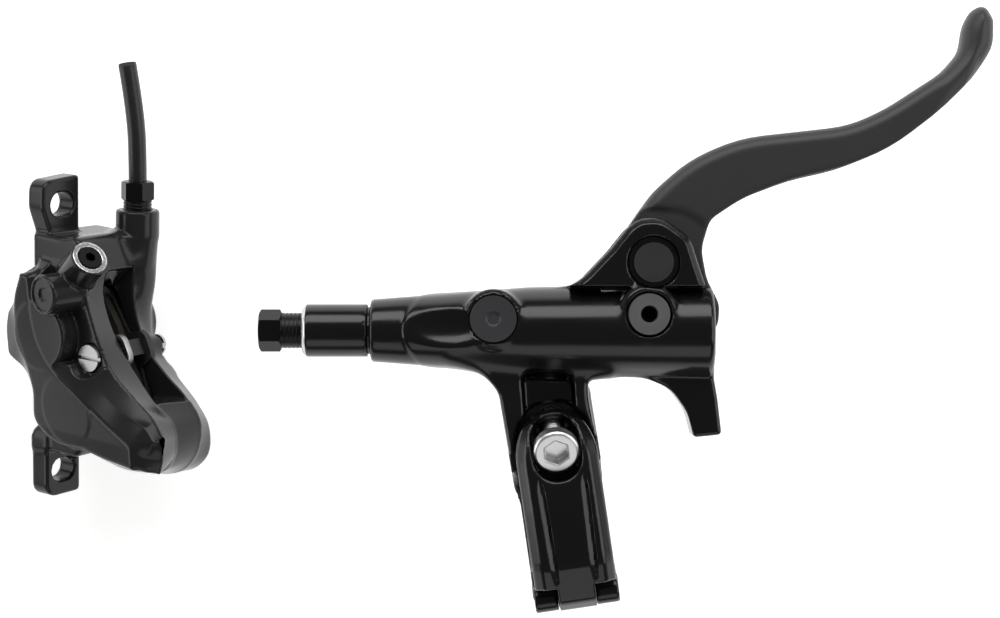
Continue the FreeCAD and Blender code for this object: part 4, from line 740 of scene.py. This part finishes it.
def bolt_to_row(points):
    """From the bolt's own axes, its length along Z, to the handlebar's."""
    x, y, z = points.T
    return np.stack([x, BOLT_Y + y * BOLT_WAY[1] + z * BOLT_WAY[0], z * BOLT_WAY[1] - y * BOLT_WAY[0]], 1)


def bolt_form(x, y, z):
    head = bevel(np.hypot(x, y) - BOLT_HEAD_R, np.maximum(BOLT_HEAD[0] - z, z - BOLT_HEAD[1]), 0.45)
    flats = np.maximum(np.abs(x), np.maximum(np.abs(0.5 * x + 0.866 * y), np.abs(0.5 * x - 0.866 * y)))
    head = carve(head, np.maximum(flats - 2.5, 13.1 - z), 0.12)
    shank = meet(np.hypot(x, y) - BOLT_ROOT_R, np.maximum(-8.6 - z, z - 12.7), 0.4)
    return join(head, shank, 0.4)


bolt = skin_mesh("clamp_bolt_turned", bolt_form, (-5.4, -5.4, -9.2), (5.4, 5.4, 16), 0.24, bolt_to_row)
# Painted light: the screw's stainless gets tone 0.9, brighter than its thread's 0.6, for the light its head
# catches.
bolt_lit_finish = Turned("clamp_bolt_stainless_painted_light", 0.9, 0.27, BOLT_LINE, BOLT_CROSSING)
bolt.data.materials.append(bolt_lit_finish.material)
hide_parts("clamp_bolt")
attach(bolt, "brake_body")
dress(Turned("hinge_pin_stainless", 0.6, 0.24, (1, 0, 0), (0, HINGE_Y * MM, 0)), "clamp_hinge_pin")


def screw_thread(name, start, way, radius, pitch, length, finish):
    """Thread ridge wound by nodes round a plain shank; sizes in millimetres, start in metres."""
    tree = bpy.data.node_groups.new(name, "GeometryNodeTree")
    for title, size in (("Root radius", radius), ("Pitch", pitch), ("Length", length)):
        socket = tree.interface.new_socket(title, in_out="INPUT", socket_type="NodeSocketFloat")
        socket.default_value = size * MM
    coat = tree.interface.new_socket("Finish", in_out="INPUT", socket_type="NodeSocketMaterial")
    tree.interface.new_socket("Ridge", in_out="OUTPUT", socket_type="NodeSocketGeometry")

    def add(kind, inputs=None, **settings):
        made = tree.nodes.new(kind)
        for key, value in settings.items():
            setattr(made, key, value)
        for key, value in (inputs or {}).items():
            if isinstance(value, bpy.types.NodeSocket):
                tree.links.new(value, made.inputs[key])
            else:
                made.inputs[key].default_value = value
        return made.outputs

    given = add("NodeGroupInput")
    turns = add("ShaderNodeMath", {0: given["Length"], 1: given["Pitch"]}, operation="DIVIDE")
    root = given["Root radius"]
    spiral = add("GeometryNodeCurveSpiral", {"Start Radius": root, "End Radius": root, "Resolution": 28,
                                             "Height": given["Length"], "Rotations": turns[0]})
    section = add("ShaderNodeMath", {0: given["Pitch"], 1: 0.3}, operation="MULTIPLY")
    ridge = add("GeometryNodeCurvePrimitiveCircle", {"Resolution": 6, "Radius": section[0]})
    wound = add("GeometryNodeCurveToMesh", {"Curve": spiral[0], "Profile Curve": ridge[0], "Fill Caps": True})
    real = add("GeometryNodeRealizeInstances", {0: wound[0]})
    dressed = add("GeometryNodeSetMaterial", {"Geometry": real[0], "Material": given["Finish"]})
    add("NodeGroupOutput", {0: dressed[0]})
    carrier = in_scene(name + "_nodes", bpy.data.meshes.new(name + "_nodes"))
    winding = carrier.modifiers.new("thread", "NODES")
    winding.node_group = tree
    winding[coat.identifier] = finish.material
    reading = bpy.context.evaluated_depsgraph_get()
    mesh = bpy.data.meshes.new_from_object(carrier.evaluated_get(reading))
    carrier.modifiers.clear()
    bpy.data.objects.remove(carrier)
    mesh.transform(Matrix.Translation(start) @ Vector(way).to_track_quat("Z", "X").to_matrix().to_4x4())
    return in_scene(name, mesh)


bolt_thread_finish = Turned("bolt_thread_stainless", 0.6, 0.22, BOLT_LINE, BOLT_CROSSING)
bolt_thread = screw_thread("clamp_bolt_thread", BOLT_CROSSING + BOLT_LINE * 0.4 * MM, BOLT_LINE,
                           2.3, 0.8, 11.5, bolt_thread_finish)
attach(bolt_thread, "brake_body")


# Caliper body: a cast aluminium block, painted gloss black, that straddles the rotor. Two ears
# with slots bolt to the frame. Its outer wall carries a bleed boss, a plug and the pad axle.
# It is drawn in its own axes: A out along the bolts, R across the rotor, T up.
CALIPER_PLACE = Vector((-134.5, 37.9, -115.0))
CALIPER_TURN = (Matrix.Rotation(math.radians(13.0), 3, "X") @ Matrix.Rotation(math.radians(55.8 - 90), 3, "Y")
                @ Matrix.Rotation(math.radians(-90 - 3.45), 3, "X"))
PISTON_R = 8.0
PISTON_MID = np.array((7.5, -7.4))
PISTON_TILT = math.radians(27)
PISTON_LINE = np.array((math.sin(PISTON_TILT), -math.cos(PISTON_TILT)))
PAD_OUT = np.array((math.cos(PISTON_TILT), math.sin(PISTON_TILT)))
PISTON_CENTRES = (PISTON_MID - PISTON_LINE * 10.8, PISTON_MID + PISTON_LINE * 10.8)
AXLE_OUT = 10.4
AXLE = PISTON_MID + PAD_OUT * AXLE_OUT
ROTOR_R = 91.5
ROTOR_PLANE = 8.6
LOBE_R = 9.6
ROTOR_MID = PISTON_MID + PAD_OUT * (AXLE_OUT + 1.5 - ROTOR_R)
POSTS_T = (36.7, -37.5)


def caliper_axes_to_row(points):
    """From the caliper's own axes to the handlebar's."""
    turned = points @ np.array(CALIPER_TURN).T + np.array(CALIPER_PLACE)
    return lever_axes_to_row(turned)


BACK_EDGE = [(-6.0, 11.5), (-10.2, 3.5), (-8.1, -5.4), (-1.1, -9.1), (0.8, -13.6), (1.5, -22.1), (8.0, -27.0)]
BULGE = [(-8.4, 11.5), (-13.2, 3.2), (-12.0, -4.6), (-5.0, -9.1), (-2.6, -13.6), (-1.6, -22.1), (7.0, -27.0)]
# Outlines of the outer wall at four depths across the rotor
OUTER_WALL = 3.0
WALL_DEPTHS = (-12.0, -9.0, -6.0, OUTER_WALL)
WALL_RINGS = (
    flowing([(-4.4, 18.5), (-6.6, 11.0), (-5.4, 4.2), (-2.2, -4.6), (-0.5, -9.0), (0.6, -13.0), (1.5, -21.5),
             (7.2, -25.9), (18.0, -26.2), (26.0, -27.4), (37.7, -29.0), (36.95, -23.4), (27.9, -18.4),
             (18.6, -13.0), (6.6, -5.2), (2.8, -0.3), (0.2, 6.3), (-1.2, 17.5)], (0, 10, 11, 17)),
    flowing([(-3.0, 20.5)] + BULGE
            + [(18.0, -27.6), (26.5, -29.4), (39.8, -29.8), (40.0, -25.8), (42.6, -21.4), (39.4, -17.9),
               (29.9, -14.7), (21.0, -8.7), (11.9, 1.0), (9.0, 7.0), (7.4, 19.2)], (0, 10, 11, 12, 13, 18)),
    flowing([(-2.0, 22.0)] + BACK_EDGE
            + [(18.0, -28.8), (27.0, -31.2), (42.0, -30.6), (42.8, -27.4), (43.4, -20.8), (39.4, -16.0),
               (32.0, -11.0), (23.5, -4.3), (17.2, 7.2), (14.8, 13.9), (13.6, 21.0)], (0, 10, 11, 12, 18)),
    flowing([(-3.0, 22.0)] + BACK_EDGE
            + [(17.0, -31.8), (28.0, -34.0), (36.6, -31.6), (39.6, -25.6), (38.6, -19.4), (33.5, -15.6),
               (27.0, -9.6), (20.1, -2.0), (14.5, 7.0), (12.6, 14.2), (14.0, 20.4)], (0, 18)))
# Outlines of the inner wall where it starts across the rotor and at its far face
INNER_WALL = 12.4
INNER_FACE = 22.0
INNER_EDGE_RING = flowing([(-4.0, 24.0)] + BACK_EDGE[:5]
                          + [(2.5, -24.0), (9.0, -32.4), (18.0, -36.4), (26.0, -36.8), (33.4, -34.2),
                             (38.2, -28.0), (39.0, -20.0), (34.0, -13.8), (26.2, -8.2), (19.0, -1.4),
                             (16.1, 4.6), (13.8, 12.9), (13.4, 19.8), (12.5, 24.0)], (0, 19))
INNER_FACE_RING = flowing([(-3.0, 23.0), (-5.0, 11.5), (-9.0, 3.5), (-7.3, -5.0), (-0.5, -9.0), (1.5, -14.0),
                           (3.2, -24.0), (9.4, -31.6), (17.5, -36.6), (24.4, -37.8), (31.4, -35.6),
                           (35.4, -31.0), (35.2, -24.0), (30.4, -17.6), (23.4, -11.4), (17.0, -5.0),
                           (13.9, -0.9), (12.6, 5.6), (14.0, 15.0), (13.0, 23.0)], (0, 19))
# The outer wall's free edge from its tip upwards: heights, and how far out it lies at each
EDGE_LINE = WALL_RINGS[0][np.argmin(np.hypot(*(WALL_RINGS[0] - (36.95, -23.4)).T)):].T[::-1]
BRIDGE_TOP = ((10.0, 22.0, 32.0, 38.0), (-20.0, -14.4, -14.4, -15.5))
NECK_RING = arced([(-5.5, 19.0), (14.0, 19.0), (14.0, 22.0), (12.0, 29.5), (5.0, 28.6), (-5.5, 29.0)],
                  [1, 1, 2, 3, 4, 1])
WEB_RING = arced([(-5.8, -26.0), (3.0, -18.0), (14.0, -24.0), (12.0, -31.5), (0.0, -31.0), (-5.8, -31.5)],
                 [1, 2, 3, 3, 2, 1])
WINDOW_RING = arced([(5.0, 12.0), (13.0, 19.6), (50.0, 19.0), (50.0, -14.6), (32.2, -14.6), (20.0, -16.0),
                     (14.0, -14.0)], 1.0)
EAR_RINGS = (
    arced([(-7.2, 36.0), (-3.6, 26.7), (6.25, 26.7), (6.25, 44.4), (-6.9, 43.4)], [6, 4, 0.5, 0.9, 3.4]),
    arced([(-6.25, -44.75), (6.25, -44.75), (6.25, -27.5), (-6.25, -27.5)], [3.6, 1.2, 0.5, 0.5]))
BLEED_WAY = np.array((0.747, -0.221, 0.628)) / math.hypot(0.747, -0.221, 0.628)
BLEED_END = np.array((17.7, -7.3, 24.8))
PORT_WAY = np.array((-0.15, -0.985, -0.02)) / math.hypot(0.15, 0.985, 0.02)
PORT_END = np.array((7.9, -15.4, 14.5))
HOSE_A = 11.0
HOSE_R = 17.5


def caliper_form(a, r, t):
    outlines = [outline(a, t, ring) for ring in WALL_RINGS]
    wall = outlines[0]
    for i in range(3):
        share = np.clip((r - WALL_DEPTHS[i]) / (WALL_DEPTHS[i + 1] - WALL_DEPTHS[i]), 0, 1)
        wall = wall + (outlines[i + 1] - outlines[i]) * share
    past_edge = a - np.interp(t, *EDGE_LINE)
    side_end = -12.0 - 0.06 * np.minimum(past_edge, 0)
    body = meet(wall, np.maximum(side_end - r, r - OUTER_WALL), 0.4)
    from_pistons = [np.hypot(a - c[0], t - c[1]) for c in PISTON_CENTRES]
    from_axle = np.hypot(a - AXLE[0], t - AXLE[1])
    pocket = np.maximum(np.maximum(r + 6.2, -4.5 - t), np.maximum(LOBE_R - from_pistons[0], 2.0 - a))
    body = carve(body, pocket, 0.5)
    for from_piston, reach in zip(from_pistons, (-9.0, 0.2)):
        lobe = meet(from_piston - LOBE_R, np.maximum(side_end - r, r + 2.0), 0.5)
        body = join(body, np.maximum(lobe, past_edge * 0.7 + reach), 0.4)
    # The inner wall, and the bridge that joins both walls over the rotor
    inner_edge = outline(a, t, INNER_EDGE_RING)
    share = np.clip((r - INNER_WALL) / (INNER_FACE - INNER_WALL), 0, 1)
    inner = inner_edge + (outline(a, t, INNER_FACE_RING) - inner_edge) * share
    inner = meet(meet(inner, INNER_WALL - r, 0.5), r - INNER_FACE, 2.6)
    share = np.clip((r - OUTER_WALL) / (INNER_WALL - OUTER_WALL), 0, 1)
    bridge = outlines[3] + (inner_edge - outlines[3]) * share
    bridge = np.maximum(np.maximum(bridge, t - np.interp(a, *BRIDGE_TOP)), np.abs(r - 7.9) - 5.4)
    body = join(join(body, bridge, 0.6), inner, 0.6)
    body = join(body, meet(outline(a, t, NECK_RING), np.abs(r - 6.1) - 12.1, 1.2), 1.2)
    # Ears for the frame's bolts, the hose's boss, piston caps, and bosses for plug, axle and nipple
    for ring in EAR_RINGS:
        body = join(body, meet(outline(r, t, ring), np.abs(a + 3.0) - 3.0, 0.7), 1.5)
    body = join(body, meet(outline(a, t, WEB_RING), np.abs(r - 0.02) - 6.23, 1.0), 2.0)
    body = join(body, rod(a, r, t, (8.6, 17.2, 2.0), (HOSE_A, HOSE_R, 28.0), 3.4, 6.0), 4.0)
    body = join(body, rod(a, r, t, (HOSE_A, HOSE_R, 27.0), (HOSE_A, HOSE_R, 34.9), 6.0, round_off=0.9), 0.3)
    for c in PISTON_CENTRES:
        body = join(body, rod(a, r, t, (c[0], 15.2, c[1]), (c[0], 24.4, c[1]), 10.0, round_off=1.6), 1.5)
    body = join(body, rod(a, r, t, PORT_END - PORT_WAY * 11.0, PORT_END, 5.4, round_off=0.7), 0.9)
    body = join(body, rod(a, r, t, (AXLE[0], 14.2, AXLE[1]), (AXLE[0], 19.2, AXLE[1]), 2.6), 2.2)
    body = join(body, rod(a, r, t, BLEED_END - BLEED_WAY * 12.0, BLEED_END, 5.1, round_off=0.35), 0.9)
    # Room for pads, rotor and pad eyes, the window, the cylinders and every hole
    s = (a - PISTON_MID[0]) * PISTON_LINE[0] + (t - PISTON_MID[1]) * PISTON_LINE[1]
    w = (a - PISTON_MID[0]) * PAD_OUT[0] + (t - PISTON_MID[1]) * PAD_OUT[1]
    gap = np.abs(r - ROTOR_PLANE) - 5.6
    room = np.maximum(np.maximum(np.abs(s) - 20.9, np.maximum(w - 9.1, -20.5 - w)), gap)
    rotor = np.maximum(np.hypot(a - ROTOR_MID[0], t - ROTOR_MID[1]) - ROTOR_R, np.abs(r - ROTOR_PLANE) - 2.2)
    window = np.maximum(outline(a, t, WINDOW_RING), np.abs(r - 7.7) - 4.7)
    eyes = np.maximum(from_axle - 4.2, gap)
    body = carve(body, np.minimum(np.minimum(room, rotor), np.minimum(window, eyes)), 0.3)
    for from_piston in from_pistons:
        body = carve(body, np.maximum(from_piston - PISTON_R, np.maximum(-8.5 - r, r - 21.8)))
    for post in POSTS_T:
        slot = np.hypot(np.maximum(np.abs(r) - 1.0, 0), t - post) - 3.3
        body = carve(body, np.maximum(slot, a - 5.0), 0.4)
    body = carve(body, from_axle - 1.5)
    recess = np.minimum(np.maximum(from_axle - 3.9, r + 5.2),
                        np.maximum(np.hypot(a - AXLE[0] - 0.5, t - AXLE[1] + 0.3) - 4.6, r + 6.6))
    body = carve(body, recess, 0.35)
    body = carve(body, np.maximum(from_axle - 3.6, 19.2 - r), 0.2)
    hose = np.hypot(a - HOSE_A, r - HOSE_R)
    body = carve(body, np.minimum(np.maximum(hose - 3.8, 25.9 - t), np.maximum(hose - 3.0, 19.9 - t)), 0.2)
    nipple = rod(a, r, t, BLEED_END - BLEED_WAY * 7.0, BLEED_END + BLEED_WAY * 5.0, 3.2, round_off=0.05)
    body = carve(body, nipple)
    plug = np.minimum(rod(a, r, t, PORT_END - PORT_WAY * 3.0, PORT_END + PORT_WAY * 5.0, 4.4, round_off=0.05),
                      rod(a, r, t, PORT_END - PORT_WAY * 9.4, PORT_END, 2.0, round_off=0.05))
    body = carve(body, plug, 0.15)
    scallop = np.sqrt((a + 2.6) ** 2 + (r + 10.2) ** 2 + ((t - 23.4) / 1.3) ** 2) - 3.4
    return carve(body, scallop, 0.4)


caliper = skin_mesh("caliper_casting", caliper_form, (-12, -17, -47), (43, 27, 46), 0.5, caliper_axes_to_row)


def caliper_point(a, r, t):
    """Place in metres of a point given in the caliper's own axes in millimetres."""
    return caliper_axes_to_row(np.array([(a, r, t)], float))[0] * MM


def caliper_way(a, r, t):
    """Direction in the handlebar's axes of one given in the caliper's own."""
    way = caliper_point(a, r, t) - caliper_point(0, 0, 0)
    return way / np.linalg.norm(way)


def turned_boss(finish):
    """Mask of the bare turned ring at the end of the bleed boss."""
    from_end = finish.vector("SUBTRACT", finish.place, caliper_point(*BLEED_END))
    along = finish.vector("DOT_PRODUCT", from_end, caliper_way(*BLEED_WAY), "Value")
    away = finish.vector("LENGTH", from_end, out="Value")
    return (along > -0.25 * MM) * (away < 4.75 * MM)


caliper_paint = GlossPaint("caliper_gloss_paint", bare=turned_boss, lift=0.014, shine=0.3)
caliper.data.materials.append(caliper_paint.material)
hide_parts("caliper_body")
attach(caliper, "brake_body")


# Fitting of the lever's hose port: a blacked steel flare nut, screwed into the nose to squeeze the
# hose. Its last threads show outside the nose.
blacked = Turned("lever_nut_blacked", 0.03, 0.27, CYLINDER_WAY, CYLINDER_POINT, (1, 1, 1.06))
dress(blacked, "lever_hose_nut")
lever_thread = screw_thread("lever_nut_thread", lever_point(-61.8, CYLINDER_V, CYLINDER_Z), CYLINDER_WAY,
                            3.68, 0.9, 4.5, blacked)
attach(lever_thread, "brake_body")


# Pistons and pads: four phenolic pistons in square rubber rings, and two steel backplates, zinc
# plated, each with a moulded friction lining. The pads hang on one slotted steel axle.
PISTON_WAY = caliper_way(0, 1, 0)
HALVES = ("outer_upper", "outer_lower", "inner_upper", "inner_lower")
phenolic = Moulded("piston_phenolic", (0.10, 0.055, 0.03), (0.16, 0.095, 0.055), 0.42)
dress(phenolic, *("piston_" + half for half in HALVES))
dress(seal_rubber, *("piston_seal_" + half for half in HALVES))
AXLE_POINT = caliper_point(AXLE[0], 0, AXLE[1])


class ZincPlate(Finish):
    """Steel plate, zinc plated: bright round the eye of its tab, turning dark and dull from 6 to 9 mm away
    from it.
    """

    def __init__(self, name):
        super().__init__(name)
        patina = self.noise(140, 3)
        grain = self.noise(2600, 2)
        from_eye = self.vector("DISTANCE", self.place, AXLE_POINT, "Value")
        dull = self.node("MapRange", {}, {"Value": from_eye + patina * 2 * MM,
                                          "From Min": 6.0 * MM, "From Max": 9.0 * MM})
        bright = self.between(grain, (0.5, 0.5, 0.51, 1), (0.72, 0.72, 0.73, 1))
        colour = self.between(dull, bright, (0.035, 0.034, 0.034, 1))
        self.surface(Base_Color=colour, Metallic=1 - dull * 0.7, Roughness=dull * 0.3 + grain * 0.1 + 0.22,
                     Normal=self.bump(grain, 0.000004))


dress(ZincPlate("backplate_zinc"), "pad_backplate_outer", "pad_backplate_inner")
dress(Moulded("lining_compound", (0.012, 0.011, 0.010), (0.055, 0.045, 0.034), 0.8, 1600, 0.00003),
      "pad_lining_outer", "pad_lining_inner")
dress(Turned("pad_axle_stainless", 0.5, 0.3, PISTON_WAY, AXLE_POINT), "pad_axle", "axle_snap_ring")
# Painted shade: the pad spring's stainless is darkened to tone 0.06, against the axle's 0.5, for the dark
# window it sits in.
dress(Turned("pad_spring_stainless_painted_shade", 0.06, 0.4, PISTON_WAY, AXLE_POINT), "pad_spring")

# Caliper's small fittings: a blacked bleed nipple with a hexagon, and an anodised plug that closes
# the drilling between the two halves.
dress(Turned("nipple_blacked", 0.035, 0.24, caliper_way(*BLEED_WAY), caliper_point(*BLEED_END),
             (1, 1, 1.05)), "bleed_nipple")
dress(Turned("port_plug_anodised", 0.05, 0.26, caliper_way(*PORT_WAY), caliper_point(*PORT_END),
             (1, 1, 1.04)), "cross_port_plug")


# Hose end: a nylon hose, sleeved over a brass barb and squeezed by a brass olive under a blacked
# nut, leaves the caliper straight upwards and is cut off short.
HOSE_WAY = caliper_way(0, 0, 1)
HOSE_EXIT = (HOSE_A, HOSE_R, 42.7)
HOSE_ROUTE = [HOSE_EXIT, (HOSE_A, HOSE_R, 46.0), (10.3, 17.6, 60.5), (6.75, 17.9, 73.8)]
HOSE_D = 5.0
HOSE_BORE = 2.1
HOSE_END = 1.0
nut_finish = Turned("caliper_nut_blacked", 0.03, 0.25, HOSE_WAY, caliper_point(*HOSE_EXIT), (1, 1, 1.06))
dress(nut_finish, "caliper_hose_nut")
caliper_thread = screw_thread("caliper_nut_thread", caliper_point(HOSE_A, HOSE_R, 34.7), HOSE_WAY,
                              3.68, 0.9, 2.9, nut_finish)
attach(caliper_thread, "brake_body")
dress(Turned("olive_brass", 0.75, 0.24, HOSE_WAY, caliper_point(*HOSE_EXIT), (1, 0.78, 0.42)),
      "hose_olive", "hose_insert")

hose_line = bpy.data.curves.new("hose_line", "CURVE")
hose_line.dimensions = "3D"
way = hose_line.splines.new("NURBS")
way.points.add(len(HOSE_ROUTE) - 1)
for control, place in zip(way.points, HOSE_ROUTE):
    control.co = (*caliper_point(*place), 1)
way.order_u = 3
way.use_endpoint_u = True
way.resolution_u = 12
hose_line.bevel_depth = HOSE_D / 2 * MM
hose_line.bevel_resolution = 8
hose_line.use_fill_caps = True
hose = in_scene("hose", hose_line)
hose_finish = Moulded("hose_nylon", (0.008, 0.008, 0.009), (0.018, 0.018, 0.02), 0.26, 700, 0.00001)
hose_line.materials.append(hose_finish.material)

end_place = Vector(caliper_point(*HOSE_ROUTE[-1]))
end_turn = (end_place - Vector(caliper_point(*HOSE_ROUTE[-2]))).to_track_quat("Z", "X")
SIDES = 48
END_RINGS = ((HOSE_D / 2, -0.1), (HOSE_D / 2 - 0.12, HOSE_END), (HOSE_BORE / 2 + 0.08, HOSE_END),
             (HOSE_BORE / 2, HOSE_END - 0.1), (HOSE_BORE / 2, 0.02), (0.02, 0.02))
end_points = [(radius * MM * math.cos(angle), radius * MM * math.sin(angle), height * MM)
              for radius, height in END_RINGS for angle in np.arange(SIDES) * 2 * math.pi / SIDES]
end_faces = [(ring + i, ring + (i + 1) % SIDES, ring + SIDES + (i + 1) % SIDES, ring + SIDES + i)
             for ring in range(0, (len(END_RINGS) - 1) * SIDES, SIDES) for i in range(SIDES)]
end_mesh = bpy.data.meshes.new("hose_cut_end")
end_mesh.from_pydata(end_points, [], end_faces)
end_mesh.transform(Matrix.Translation(end_place) @ end_turn.to_matrix().to_4x4())
hose_end = in_scene("hose_cut_end", end_mesh)
cut_face = Moulded("hose_cut_face", (0.02, 0.02, 0.022), (0.045, 0.045, 0.048), 0.55, 5000)
end_mesh.materials.append(cut_face.material)
for piece in (hose, hose_end):
    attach(piece, "brake_body")
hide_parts("brake_hose")
tuple(caliper_point(*HOSE_EXIT))


table_top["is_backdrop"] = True
boxes["visual"] = [list(corner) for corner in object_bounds()]
